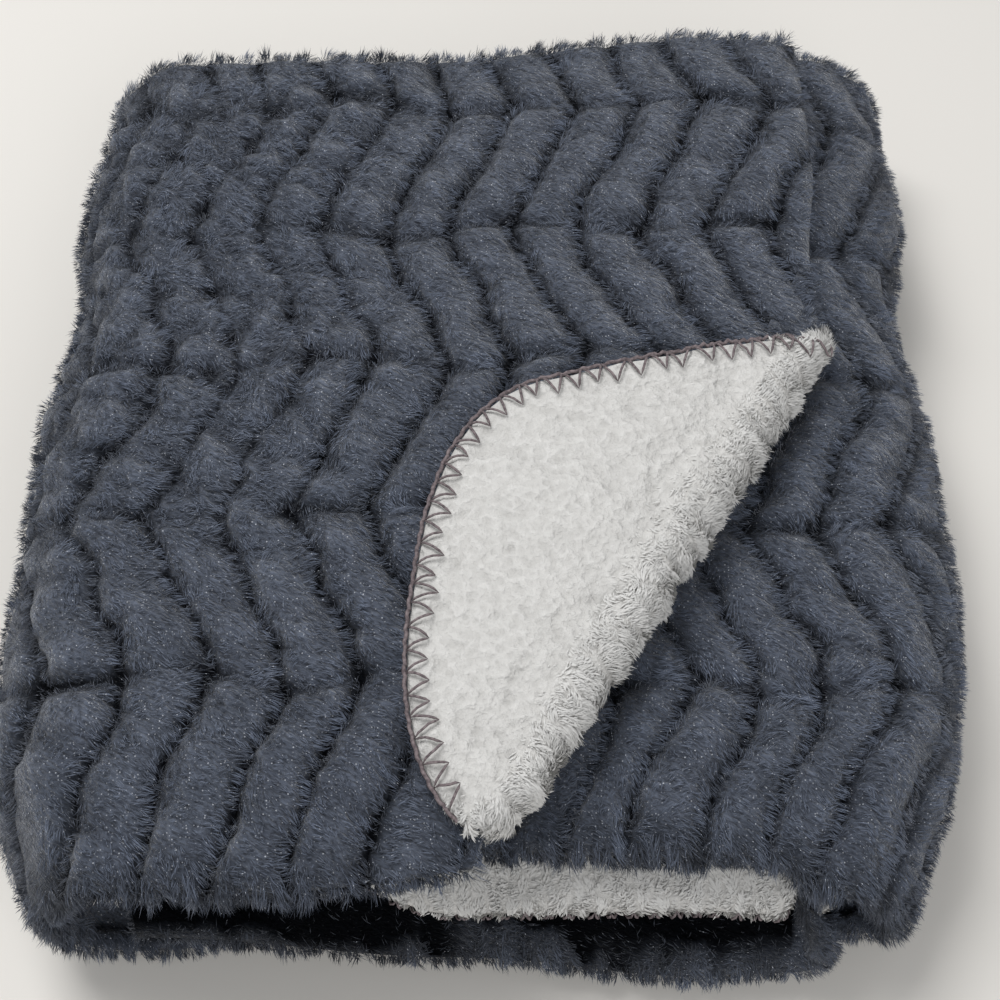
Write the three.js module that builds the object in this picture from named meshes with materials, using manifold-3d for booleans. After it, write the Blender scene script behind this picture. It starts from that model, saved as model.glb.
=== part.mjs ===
// A double-faced throw, folded flat into a thick pack with one corner turned back.
// Its face is a long-pile plush embossed in a herringbone of puffed lobes, its back is sherpa.
// Millimetres, +Z up, +Y towards the back of the pack, origin at the middle of the underside.

import Module from "manifold-3d";
import * as THREE from "three";
import { mergeVertices } from "three/addons/utils/BufferGeometryUtils.js";

const { clamp, lerp, smoothstep } = THREE.MathUtils;
const wasm = await Module();
wasm.setup();

// The two cloths
const PLUSH = 8.5; // from the ground of the plush to the top of a lobe
const SHERPA = 5.5; // from the ground of the sherpa to the top of its curls
const SEAM_GAP = 0.4; // between the two grounds
const EDGE_SHARE = 0.5; // of a cloth's thickness that is left along its sewn edge
const EDGE_ROUND = 7; // width over which a sewn edge rounds off

// The herringbone of the plush
const BAND = 62; // depth of one band
const BAND_START = -168; // where the band nearest the front starts
const SLANT = 27; // how far a lobe runs sideways over one band
const GROOVE = 4; // how far a groove lies below the top of its lobes
const PINCH = 1.6; // how much lower the lobes are where two bands meet
const RUN_FADE = 0.2; // share of a layer over which its lobes rise or fade
const TURN_FADE = 0.5; // share of a turn over which they do

// The pack, before it settles
const FRONT = -184;
const BACK = 184;
const OPEN_END = 150; // where the top layer's first column starts, past its open edge
const DROOP_DEPTH = 45; // how far behind a front edge the layer starts to droop or tuck in
const EDGE_SPREAD = 120; // depth over which the rows follow a front or back edge
const SAG_SHAPE = 1.7; // brings the most of a turn's sag to its full value, two thirds up

// The layers in the order of the fold, from the open edge at the top right.
// seam: height between the two cloths. end: where the layer ends and turns to the next.
// bulge: how far that turn stands out. lobes, steps: lobes in the layer and columns in each.
// relief: share of the full relief. turn: the same three for the turn that follows, and how far
// its front edge sags and is tucked in.
// front, back, droop: places of the two edges and how far the front one hangs, at each STATIONS x.
const STATIONS = [-125, -12, 80, 100, 125];
const SECOND = {
  seam: 70.7,
  front: [-122, -157, -160, -161, -171], droop: [0, 2, 3, 3, 8],
  back: [168, 170, 176, 180, 184],
};
const LAYERS = [
  { seam: 87.2, end: -128, bulge: 34, lobes: 11, steps: 3, relief: 1,
    turn: { lobes: 4, steps: 3, relief: 1, sag: 22, tuck: 7 },
    front: [-173, -175, -172, -170, -168], droop: [4, 0, 0, 0, 0],
    back: [171, 173, 182, 181, 177] },
  { seam: 8.7, end: 128, bulge: 34, lobes: 5, steps: 1, relief: 0,
    turn: { lobes: 4, steps: 3, relief: 1, sag: 28, tuck: 8 },
    front: [-172, -150, -150, -150, -168], droop: [0, 0, 0, 0, 0],
    back: [176, 176, 178, 179, 180] },
  { ...SECOND, end: -12, bulge: 0, lobes: 6, steps: 3, relief: 1 },
  { ...SECOND, end: -122, bulge: 7, lobes: 3, steps: 1, relief: 0,
    turn: { lobes: 6, steps: 1, relief: 0 } },
  { seam: 57.2, end: 118, bulge: 9, lobes: 6, steps: 1, relief: 0,
    turn: { lobes: 6, steps: 1, relief: 0 },
    front: [-116, -171, -171, -172, -175], droop: [0, 10, 11, 12, 18],
    back: [174, 172, 172, 171, 170] },
  { seam: 37.8, end: -127, bulge: 8, lobes: 10, steps: 2, relief: 1,
    turn: { lobes: 6, steps: 1, relief: 0 },
    front: [-173, -177, -184, -184, -184], droop: [10, 25, 27, 25, 22],
    back: [165, 168, 168, 168, 168] },
  { seam: 25, end: 110, bulge: 0, lobes: 5, steps: 1, relief: 0,
    front: [-112, -116, -116, -114, -112], droop: [0, 0, 0, 0, 0],
    back: [171, 171, 171, 170, 168] },
];

// The corner that is turned back over the top layer, in plan
const TOP_EDGE = 128; // the open edge of the top layer
const FOLD_START = new THREE.Vector2(127, 21); // where the fold leaves the open edge
const FOLD_END = new THREE.Vector2(5, -170); // where it meets the front edge
const CORNER_START = new THREE.Vector2(18, -3); // where the sewn edge starts to round
const CORNER_TIP = new THREE.Vector2(-16, -13);
const CORNER_SIDE = new THREE.Vector2(-22, -76);
const CORNER_BELLY = new THREE.Vector2(-31, -146);
const RIM_START = 0.01; // share of that sewn edge where the turned piece's first column ends
const RIM_END = 0.97; // and its last one

// The turned corner in height, and the bend that leads to it
const FOLD_RISE = 5.7; // half the height between the seams below and above the fold
const CORNER_PLUSH = 4.6; // plush pressed flat inside the fold
const CORNER_LIFT = 14.4; // from the seam of the top layer to that of the turned corner
const CLIMB = 26; // distance from the fold over which the corner climbs to that height
const PRESSED = { to: 30, from: 62 }; // distances from the fold where the plush rises again
const FOLD_OVERLAP = 12; // how far the turned piece reaches into the top layer
const FOLD_INSET = 0.6; // by which it is thinner there
const FOLD_LEAD = 2; // flat stretch before the bend
const FOLD_COLUMNS = 12;
const BEND_STEPS = 6;
const CORNER_STEPS = 6;
const CORNER_ROUND = 0.98; // share of the corner's width where its sewn edge starts to round off

// How the pack settles
const WAIST = 58; // middle of the shallow waist across the pack
const WAIST_HALF = 50;
const WAIST_SQUEEZE = { width: 0.04, height: 0.03 };
const TROUGH = -20; // middle of the shallow trough from front to back
const TROUGH_HALF = 50;
const TROUGH_SQUEEZE = 0.025; // share of the height
const SHOULDER = 0.05; // share of the height by which the front and back edges sink
const SHOULDER_FROM = 110; // distance from the middle where they start to
const WAVE = { share: 0.014, x: 47, xShift: 1, y: 53, yShift: 2 }; // slow waves in the height
// Share of the width lost towards an edge, and how far from the middle that begins
const TAPERS = {
  frontLeft: { share: 0.07, from: 105 },
  frontRight: { share: 0.12, from: 60 },
  backLeft: { share: 0.07, from: 40 },
  backRight: { share: 0, from: 40 },
};

// The meshes
const WELD = 1e-4; // distance at which two points are one
const SMOOTHED = 0.05; // height under which a joined surface loses its slivers
const DIAGONAL_SHARE = 0.97; // how much shorter a quad's other diagonal must be to be used

const plushFinish = new THREE.MeshStandardMaterial({ color: 0x474d5c, roughness: 0.9, metalness: 0 });
const sherpaFinish = new THREE.MeshStandardMaterial({ color: 0xe6e4e0, roughness: 1, metalness: 0 });

// The line of the fold, seen from the front

/** The seam of the whole fold as one curve in x and z, from the open edge inwards. */
function foldCurve() {
  const path = new THREE.CurvePath();
  let here = new THREE.Vector2(OPEN_END, LAYERS[0].seam);
  LAYERS.forEach((layer, i) => {
    const there = new THREE.Vector2(layer.end, layer.seam);
    path.add(new THREE.LineCurve(here, there));
    here = there;
    if (!layer.turn) return;
    const next = LAYERS[i + 1];
    const up = next.seam > layer.seam;
    const left = layer.end < 0;
    const start = up ? -Math.PI / 2 : Math.PI / 2;
    const finish = left ? start + Math.PI : -start;
    const middle = (layer.seam + next.seam) / 2;
    const rise = Math.abs(next.seam - layer.seam) / 2;
    const clockwise = !left && !up;
    path.add(
      new THREE.EllipseCurve(layer.end, middle, layer.bulge, rise, start, finish, clockwise),
    );
    here = new THREE.Vector2(layer.end, next.seam);
  });
  return path;
}

/** Reads at x a value that a layer's table gives for each x of STATIONS. */
function readAt(x, values) {
  let i = 0;
  while (i < STATIONS.length - 2 && x > STATIONS[i + 1]) i += 1;
  return lerp(values[i], values[i + 1], smoothstep(x, STATIONS[i], STATIONS[i + 1]));
}

/** One column for each step along the fold, with what holds for it from front to back. */
function foldColumns(curve) {
  const lengths = curve.getCurveLengths();
  const columns = [];
  const parts = LAYERS.flatMap((layer, i) => {
    const run = { ...layer, layer, next: layer, fade: RUN_FADE };
    const turn = { ...layer.turn, layer, next: LAYERS[i + 1], fade: TURN_FADE };
    return layer.turn ? [run, turn] : [run];
  });
  parts.forEach((part, i) => {
    const start = i ? lengths[i - 1] : 0;
    const spans = part.lobes * part.steps;
    const reliefBefore = i ? parts[i - 1].relief : part.relief;
    const reliefAfter = parts[i + 1]?.relief ?? 0;
    for (let k = i ? 1 : 0; k <= spans; k += 1) {
      const share = k / spans;
      const along = lerp(start, lengths[i], share);
      const { x, y: z } = curve.getPoint(along / lengths.at(-1));
      const fadeIn = reliefBefore < part.relief ? smoothstep(share, 0, part.fade) : 1;
      const fadeOut = reliefAfter < part.relief ? smoothstep(1 - share, 0, part.fade) : 1;
      const relief = part.relief * fadeIn * fadeOut;
      const foot = Math.min(part.layer.seam, part.next.seam);
      const head = Math.max(part.layer.seam, part.next.seam);
      const height = part.sag ? (z - foot) / (head - foot) : 0;
      const swell = Math.sin(Math.PI * height);
      const blend = (name, weight) =>
        lerp(readAt(x, part.layer[name]), readAt(x, part.next[name]), weight);
      columns.push({
        along,
        onTop: i === 0,
        front: blend("front", 1 - (1 - share) ** 3),
        back: blend("back", share),
        droop: blend("droop", share) + (part.sag ?? 0) * SAG_SHAPE * height * swell,
        tuck: -Math.sign(x) * (part.tuck ?? 0) * swell,
        relief,
        groove: k % part.steps === 0 ? relief : 0,
      });
    }
  });
  return columns;
}

// From front to back

/** Zigzag from -1 to 1, with its corners where the bands of the herringbone meet. */
function zigzag(y) {
  const turns = (y - BAND_START) / (2 * BAND);
  return 1 - 4 * Math.abs(turns - Math.floor(turns) - 0.5);
}

/** Rows from front to back: both edges, where they round off, and each band's ends and middle. */
function packRows() {
  const rows = [];
  for (let y = BAND_START + BAND / 2; y < BACK - 2 * EDGE_ROUND; y += BAND / 2) rows.push(y);
  return [FRONT, FRONT + EDGE_ROUND, ...rows, BACK - EDGE_ROUND, BACK];
}

/** A row's place in a column whose front and back edges are its own. */
function rowPlace(y, column) {
  const nearFront = 1 - smoothstep(y, FRONT, FRONT + EDGE_SPREAD);
  const nearBack = smoothstep(y, BACK - EDGE_SPREAD, BACK);
  return y + (column.front - FRONT) * nearFront + (column.back - BACK) * nearBack;
}

/** How much of its droop and tuck a layer has at y, more towards its front edge. */
function frontShare(y, column) {
  return (1 - clamp((y - column.front) / DROOP_DEPTH, 0, 1)) ** 2;
}

// The turned corner, in plan

const foldAlong = FOLD_END.clone().sub(FOLD_START).normalize();
const foldOut = new THREE.Vector2(-foldAlong.y, foldAlong.x);
const foldLength = FOLD_START.distanceTo(FOLD_END);
const foldReach = FOLD_RISE + SEAM_GAP / 2 + SHERPA; // from the bend's middle to its outside

/** How far a point in plan lies inside the fold line. */
function insideFold(x, y) {
  return -((x - FOLD_START.x) * foldOut.x + (y - FOLD_START.y) * foldOut.y);
}

/** How much of the plush's thickness is left beside the fold, where it is pressed flat. */
function pressedShare(x, y) {
  const risen = smoothstep(insideFold(x, y), PRESSED.to, PRESSED.from);
  return lerp(CORNER_PLUSH / PLUSH, 1, risen);
}

/** How far right the top layer reaches at y: to its open edge or to where the fold takes over. */
function topReach(y) {
  const share = (y - FOLD_START.y) / foldAlong.y;
  const onFold = FOLD_START.x + foldAlong.x * share - (foldReach + FOLD_LEAD) / foldOut.x;
  return Math.min(TOP_EDGE, onFold);
}

// Surfaces and solids

/**
 * A closed mesh from two sheets of points, the first on the side that rows x columns face.
 * Each quad of both is split along the shorter diagonal that it has in the seam between the cloths.
 */
function sheetGeometry(outer, inner, seam) {
  const rows = outer.length;
  const columns = outer[0].length;
  const points = [...outer.flat(), ...inner.flat()];
  const under = rows * columns;
  const at = (row, column) => row * columns + column;
  const faces = [];
  const quad = (a, b, c, d) => faces.push(a, b, c, a, c, d);
  const turnedQuad = (a, b, c, d) => quad(b, c, d, a);
  for (let r = 0; r < rows - 1; r += 1) {
    for (let c = 0; c < columns - 1; c += 1) {
      const falling = seam[r][c].distanceTo(seam[r + 1][c + 1]);
      const rising = seam[r + 1][c].distanceTo(seam[r][c + 1]);
      const split = rising < DIAGONAL_SHARE * falling ? turnedQuad : quad;
      split(at(r, c), at(r + 1, c), at(r + 1, c + 1), at(r, c + 1));
      split(under + at(r, c), under + at(r, c + 1), under + at(r + 1, c + 1), under + at(r + 1, c));
    }
    quad(at(r, 0), under + at(r, 0), under + at(r + 1, 0), at(r + 1, 0));
    const last = columns - 1;
    quad(at(r, last), at(r + 1, last), under + at(r + 1, last), under + at(r, last));
  }
  for (let c = 0; c < columns - 1; c += 1) {
    quad(at(0, c), at(0, c + 1), under + at(0, c + 1), under + at(0, c));
    const last = rows - 1;
    quad(at(last, c), under + at(last, c), under + at(last, c + 1), at(last, c + 1));
  }
  const geometry = new THREE.BufferGeometry().setFromPoints(points);
  geometry.setIndex(faces);
  return geometry;
}

/** One cloth from a grid of points with their seam, normal, and where the cloth starts and ends. */
function clothGeometry(grid, farOutside) {
  const surface = (name) =>
    grid.map((row) => row.map((p) => p.seam.clone().addScaledVector(p.normal, p[name])));
  const seam = grid.map((row) => row.map((p) => p.seam));
  const [outer, inner] = farOutside ? ["far", "near"] : ["near", "far"];
  return sheetGeometry(surface(outer), surface(inner), seam);
}

/** Turns a closed geometry into a solid that can be joined and cut. */
function toSolid(geometry) {
  const merged = mergeVertices(geometry, WELD);
  const vertProperties = new Float32Array(merged.attributes.position.array);
  const triVerts = new Uint32Array(merged.index.array);
  return new wasm.Manifold(new wasm.Mesh({ numProp: 3, vertProperties, triVerts }));
}

/** Turns a solid back into a geometry. */
function toGeometry(solid) {
  const { vertProperties, triVerts } = solid.getMesh();
  const geometry = new THREE.BufferGeometry();
  geometry.setAttribute("position", new THREE.Float32BufferAttribute(vertProperties, 3));
  geometry.setIndex(Array.from(triVerts));
  return geometry;
}

/** The folded layers of one cloth. side is 1 for the plush and -1 for the sherpa. */
function foldedCloth(side) {
  const curve = foldCurve();
  const columns = foldColumns(curve);
  const total = curve.getLength();
  const grid = packRows().map((row) => {
    const edge = row === FRONT || row === BACK ? EDGE_SHARE : 1;
    return columns.map((column) => {
      const y = rowPlace(row, column);
      const open = OPEN_END - topReach(y);
      const slanted = column.along - (column.relief * SLANT * zigzag(row)) / 2;
      const share = clamp(Math.max(slanted, open) / total, 0, 1);
      const point = curve.getPoint(share);
      const tangent = curve.getTangent(share);
      const normal = new THREE.Vector3(tangent.y, 0, -tangent.x).multiplyScalar(side);
      const near = frontShare(y, column);
      const seam = new THREE.Vector3(
        point.x + column.tuck * near,
        y,
        point.y - column.droop * near,
      );
      let thickness = SHERPA * edge;
      if (side > 0) {
        const past = slanted < open;
        const pressed = column.onTop ? pressedShare(point.x, y) : 1;
        const openEdge = past && y > FOLD_START.y ? EDGE_SHARE : 1;
        const low = GROOVE * column.groove + PINCH * column.relief * Math.abs(zigzag(row));
        thickness = edge * pressed * openEdge * (PLUSH - (past ? 0 : low));
      }
      return { seam, normal, near: SEAM_GAP / 2, far: SEAM_GAP / 2 + thickness };
    });
  });
  return clothGeometry(grid, side > 0);
}

/** The sewn outline of the turned corner, from the fold's start round its tip to its end. */
function cornerOutline(from, to) {
  const outline = new THREE.CurvePath();
  outline.add(new THREE.LineCurve(from, CORNER_START));
  outline.add(new THREE.QuadraticBezierCurve(CORNER_START, CORNER_TIP, CORNER_SIDE));
  outline.add(new THREE.QuadraticBezierCurve(CORNER_SIDE, CORNER_BELLY, to));
  return outline;
}

/**
 * The lines of the bend, from inside the top layer to its upper end.
 * run: distance along the cloth. out: distance out from the bend's middle. turn: angle turned.
 */
function bendLines() {
  const lead = [FOLD_OVERLAP, FOLD_LEAD].map((before) => {
    return { run: -before, out: -before, up: 0, turn: 0, inset: FOLD_INSET };
  });
  const bend = [];
  for (let k = 0; k <= BEND_STEPS; k += 1) {
    const turn = (Math.PI * k) / BEND_STEPS;
    const out = FOLD_RISE * Math.sin(turn);
    const up = FOLD_RISE * (1 - Math.cos(turn));
    bend.push({ run: FOLD_RISE * turn, out, up, turn, inset: 0 });
  }
  const startRun = foldAlong.y / foldOut.y; // how the open edge runs along the bend
  const endRun = foldAlong.x / foldOut.x; // how the front edge runs along it
  return [...lead, ...bend].map(({ run, out, up, turn, inset }) => {
    const first = (run - foldReach) * startRun;
    const last = foldLength + (run - foldReach) * endRun;
    const line = [];
    for (let c = 0; c <= FOLD_COLUMNS; c += 1) {
      const plan = FOLD_START.clone()
        .addScaledVector(foldAlong, lerp(first, last, c / FOLD_COLUMNS))
        .addScaledVector(foldOut, out - foldReach);
      line.push({ plan, up, turn, inset, edge: 1 });
    }
    return line;
  });
}

/** The turned corner of one cloth: out of the top layer, round the bend and back over it. */
function turnedCorner(side) {
  const lines = bendLines();
  const top = lines.at(-1);
  const outline = cornerOutline(top[0].plan, top.at(-1).plan);
  for (let k = 1; k <= CORNER_STEPS; k += 1) {
    const atRim = k === CORNER_STEPS;
    const share = atRim ? 1 : (k / CORNER_STEPS) * CORNER_ROUND;
    lines.push(
      top.map((start, c) => {
        const rim = outline.getPoint(lerp(RIM_START, RIM_END, c / FOLD_COLUMNS));
        const plan = start.plan.clone().lerp(rim, share);
        const climb = smoothstep(insideFold(plan.x, plan.y) - foldReach, 0, CLIMB);
        const up = lerp(2 * FOLD_RISE, CORNER_LIFT, climb);
        return { plan, up, turn: Math.PI, inset: 0, edge: atRim ? EDGE_SHARE : 1 };
      }),
    );
  }
  const full = side > 0 ? CORNER_PLUSH : SHERPA;
  const grid = lines.map((line) =>
    line.map(({ plan, up, turn, inset, edge }) => {
      const seam = new THREE.Vector3(plan.x, plan.y, LAYERS[0].seam + up);
      const flat = -Math.sin(turn);
      const normal = new THREE.Vector3(foldOut.x * flat, foldOut.y * flat, Math.cos(turn));
      normal.multiplyScalar(side);
      return { seam, normal, near: SEAM_GAP / 2 + inset, far: SEAM_GAP / 2 + full * edge - inset };
    }),
  );
  return clothGeometry(grid, side < 0);
}

// How the pack settles

/** A smooth bump from 1 in the middle to 0 at its half width. */
function bump(value, middle, half) {
  const away = clamp(Math.abs(value - middle) / half, 0, 1);
  return (1 - away * away) ** 2;
}

/** How much of the width is lost at a place in plan, towards the nearest edge. */
function taperShare(x, y) {
  const taper = TAPERS[(y < 0 ? "front" : "back") + (x < 0 ? "Left" : "Right")];
  return taper.share * smoothstep(Math.abs(y), taper.from, BACK);
}

/** Moves every point of a geometry to where the settled pack has it. The underside stays flat. */
function settle(geometry) {
  const place = geometry.attributes.position;
  for (let i = 0; i < place.count; i += 1) {
    const x = place.getX(i);
    const y = place.getY(i);
    const z = place.getZ(i);
    const waist = bump(y, WAIST, WAIST_HALF);
    const trough = TROUGH_SQUEEZE * bump(x, TROUGH, TROUGH_HALF);
    const ends = SHOULDER * smoothstep(Math.abs(y), SHOULDER_FROM, BACK) ** 2;
    const wave = Math.sin(x / WAVE.x + WAVE.xShift) * Math.sin(y / WAVE.y + WAVE.yShift);
    const height = 1 - WAIST_SQUEEZE.height * waist - trough - ends + WAVE.share * wave;
    place.setX(i, x * (1 - WAIST_SQUEEZE.width * waist - taperShare(x, y)));
    place.setZ(i, z * height);
  }
  return geometry;
}

/** A named, finished cloth of the folded pack. */
function cloth(name, side, finish) {
  const layers = toSolid(settle(foldedCloth(side)));
  const corner = toSolid(settle(turnedCorner(side)));
  const mesh = new THREE.Mesh(toGeometry(layers.add(corner).simplify(SMOOTHED)), finish);
  mesh.name = name;
  return mesh;
}

const throwPack = new THREE.Group();
throwPack.add(cloth("plush_face", 1, plushFinish));
throwPack.add(cloth("sherpa_back", -1, sherpaFinish));

export default throwPack;
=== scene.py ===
"""A double-faced throw folded flat into a pack, one corner of its top layer turned back.

The face is a long-pile plush embossed in a herringbone of puffed lobes, the back is sherpa,
and a zigzag overlock stitch joins them along the edges. Lengths are in millimetres until a
mesh is written, which is in metres. +Z is up and +Y runs to the back of the pack. A class
lists those of its attributes that need more than their name.
"""

import logging
import math
from dataclasses import dataclass, field
from enum import Enum

import bpy
import numpy as np
from mathutils import Matrix, Vector


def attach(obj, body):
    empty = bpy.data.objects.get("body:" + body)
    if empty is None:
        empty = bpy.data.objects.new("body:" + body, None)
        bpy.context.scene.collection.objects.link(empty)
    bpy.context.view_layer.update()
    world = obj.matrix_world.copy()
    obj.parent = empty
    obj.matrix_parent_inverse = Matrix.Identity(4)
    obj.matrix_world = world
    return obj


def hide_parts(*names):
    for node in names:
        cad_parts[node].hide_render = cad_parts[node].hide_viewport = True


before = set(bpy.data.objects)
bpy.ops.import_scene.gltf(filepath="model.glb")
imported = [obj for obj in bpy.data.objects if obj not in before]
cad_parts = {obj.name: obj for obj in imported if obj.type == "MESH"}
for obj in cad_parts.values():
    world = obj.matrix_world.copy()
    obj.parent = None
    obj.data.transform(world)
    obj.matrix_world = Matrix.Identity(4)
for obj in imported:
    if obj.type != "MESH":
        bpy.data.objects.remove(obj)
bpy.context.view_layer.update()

LOG = logging.getLogger("throw")
MM = 0.001
TINY = 1e-9
BODY = "root"

Array = np.ndarray
Value = float | Array
Socket = bpy.types.NodeSocket


class Cloth(Enum):
    """Which of the two cloths a surface belongs to, as the side of the seam it lies on."""

    PLUSH = 1
    SHERPA = -1

    def pick(self, pair: tuple) -> float:
        """This cloth's one of a pair of values, the plush's first."""
        return pair[0] if self is Cloth.PLUSH else pair[1]


def smoothstep(value: Value, low: Value, high: Value) -> Value:
    """Rises from 0 at low to 1 at high, as 3t^2 - 2t^3 of the share t of the way.

    Args:
        value: where it is read.
        low: where the rise starts.
        high: where it ends.

    Returns:
        How far it has risen.
    """
    t = np.clip((value - low) / (high - low), 0.0, 1.0)
    return t * t * (3.0 - 2.0 * t)


def mix(a: Value, b: Value, share: Value) -> Value:
    """Linear mix of a and b, as a + (b - a) * share."""
    return a + (b - a) * share


def unit(vectors: Array) -> Array:
    """Vectors along the last axis, scaled to length 1."""
    return vectors / np.maximum(np.linalg.norm(vectors, axis=-1, keepdims=True), 1e-12)


def rounded(distance: Array, width: float, left: float) -> Array:
    """Share of a cloth's height near its edge, along a quarter circle.

    It is left + (1 - left) * sqrt(1 - (1 - distance / width)^2).

    Args:
        distance: from the edge.
        width: how far in the cloth has its full height.
        left: share of the height at the edge itself.

    Returns:
        The share at each distance.
    """
    t = np.clip(distance / width, 0, 1)
    return left + (1 - left) * np.sqrt(1 - (1 - t) ** 2)


@dataclass(frozen=True)
class Stretch:
    """A stretch over which something rises from 0 to its amount, as a smoothstep."""

    low: float
    high: float
    amount: float = 1.0

    def rise(self, value: Value) -> Value:
        """The amount risen at a place."""
        return self.amount * smoothstep(value, self.low, self.high)

    def fall(self, value: Value) -> Value:
        """1 less the amount risen at a place."""
        return 1 - self.rise(value)


@dataclass(frozen=True)
class Ripple:
    """Slow unevenness: a sum of sine waves in random directions of about one wavelength."""

    size: float
    seed: int
    waves: int = 7
    amount: float = 1.0
    shortest: float = 0.7
    longest: float = 1.5
    gain: float = 1.4

    def at(self, x: Array, y: Array) -> Array:
        """The mean of sin(kx x + ky y + phase) over the waves, scaled to the amount.

        Args:
            x: first coordinate.
            y: second coordinate.

        Returns:
            An array of the same shape.
        """
        rng = np.random.default_rng(self.seed)
        angle = rng.uniform(0, math.tau, self.waves)
        number = math.tau / (self.size * rng.uniform(self.shortest, self.longest, self.waves))
        phase = rng.uniform(0, math.tau, self.waves)
        total = np.zeros(np.broadcast(x, y).shape)
        for a, k, p in zip(angle, number, phase):
            total = total + np.sin(k * (np.cos(a) * x + np.sin(a) * y) + p)
        return self.amount * (total * self.gain / self.waves)


@dataclass(frozen=True)
class Scatter:
    """One point in each cell of a square grid, moved about in its cell, as locks and curls lie."""

    size: float
    seed: int

    def drawn(self, i: Array, j: Array, salt: int) -> Array:
        """A number from 0 to 1 that depends on the cell alone, by an integer hash.

        The cell's numbers are multiplied by large primes, mixed by exclusive or, and stirred
        by a linear congruence, in 31 bits.

        Args:
            i: the cell's number along x.
            j: its number along y.
            salt: tells one draw of a cell from another.

        Returns:
            The number for each cell.
        """
        bits = 0x7FFFFFFF
        h = (i.astype(np.int64) * 73856093) ^ (j.astype(np.int64) * 19349663)
        h = (h ^ (self.seed * 83492791 + salt * 2654435761)) & bits
        h = (h * 1103515245 + 12345) & bits
        return (((h >> 7) ^ h) * 48271 & bits) / float(bits)

    def nearest(self, x: Array, y: Array) -> tuple[Array, Array, Array, Array]:
        """The nearest scattered point to each place.

        Args:
            x: first coordinate.
            y: second coordinate.

        Returns:
            The way to it in x and y, its distance, and a number from 0 to 1 of its own.
        """
        i0, j0 = np.floor(x / self.size), np.floor(y / self.size)
        best = np.full(x.shape, np.inf)
        dx, dy, own = np.zeros(x.shape), np.zeros(x.shape), np.zeros(x.shape)
        for di in (-1, 0, 1):
            for dj in (-1, 0, 1):
                i, j = i0 + di, j0 + dj
                ax = (i + self.drawn(i, j, 1)) * self.size - x
                ay = (j + self.drawn(i, j, 2)) * self.size - y
                d = np.hypot(ax, ay)
                near = d < best
                best = np.where(near, d, best)
                dx, dy = np.where(near, ax, dx), np.where(near, ay, dy)
                own = np.where(near, self.drawn(i, j, 3), own)
        return dx, dy, best, own


# The fold


@dataclass(frozen=True)
class Layer:
    """One layer of the fold, and the turn that leads to the next.

    Attributes:
        bulge: how far its turn stands out, 0 where the layer runs on.
        droop: how far the front edge hangs at each station.
        steps: width of a column of the plush's grid, and of the sherpa's.
    """

    name: str
    seam: float
    end: float
    bulge: float
    lobes: float
    relief: float
    turn_lobes: float
    turn_relief: float
    sag: float
    tuck: float
    front: tuple
    back: tuple
    droop: tuple
    steps: tuple


# x where the edges of a layer are given, and the edges that its two middle layers share
STATIONS = (-125, -12, 80, 100, 125)
MIDDLE = ((-122, -157, -160, -161, -171), (168, 170, 176, 180, 184), (0, 2, 3, 3, 8))
# name, seam, end, bulge, lobes, relief, turn's lobes and relief, sag, tuck, edges, steps
LAYERS = (
    Layer("top", 87.2, -128, 34, 11, 1, 4, 1, 22, 7, (-173, -175, -172, -170, -168),
          (171, 173, 182, 181, 177), (4, 0, 0, 0, 0), (2.2, 16.0)),
    Layer("bottom", 8.7, 128, 34, 5, 0, 4, 1, 28, 8, (-172, -150, -150, -150, -168),
          (176, 176, 178, 179, 180), (0, 0, 0, 0, 0), (12.0, 16.0)),
    Layer("second", 70.7, -12, 0, 6, 1, 0, 0, 0, 0, *MIDDLE, (2.2, 12.0)),
    Layer("inner", 70.7, -122, 7, 3, 0, 6, 0, 0, 0, *MIDDLE, (12.0, 10.0)),
    Layer("third", 57.2, 118, 9, 6, 0, 6, 0, 0, 0, (-116, -171, -171, -172, -175),
          (174, 172, 172, 171, 170), (0, 10, 11, 12, 18), (8.0, 3.4)),
    Layer("fourth", 37.8, -127, 8, 10, 1, 6, 0, 0, 0, (-173, -177, -184, -184, -184),
          (165, 168, 168, 168, 168), (10, 25, 27, 25, 22), (3.6, 10.0)),
    Layer("fifth", 25.0, 110, 0, 5, 0, 0, 0, 0, 0, (-112, -116, -116, -114, -112),
          (171, 171, 171, 170, 168), (0, 0, 0, 0, 0), (20.0, 20.0)),
)


@dataclass(frozen=True)
class Sizes:
    """Driving sizes of the pack, the same as its solids have.

    Attributes:
        band_start: y where the bands begin.
        slant: how far a lobe runs sideways over one band.
        droop_depth: how far in from the front a hanging edge bends the layer.
        edge_spread: how far in the rows follow the curve of an edge.
    """

    plush: float = 8.5
    sherpa: float = 5.5
    gap: float = 0.4
    band: float = 62.0
    band_start: float = -168.0
    slant: float = 27.0
    front: float = -184.0
    back: float = 184.0
    open_end: float = 150.0
    top_edge: float = 128.0
    droop_depth: float = 45.0
    edge_spread: float = 120.0


SIZES = Sizes()


@dataclass
class Part:
    """A stretch of the fold: a layer's run, or its turn to the following layer."""

    name: str
    layer: Layer
    following: Layer
    lobes: float
    relief: float
    ease: float
    steps: tuple
    sag: float = 0.0
    tuck: float = 0.0
    start: float = 0.0
    end: float = 0.0


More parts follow.
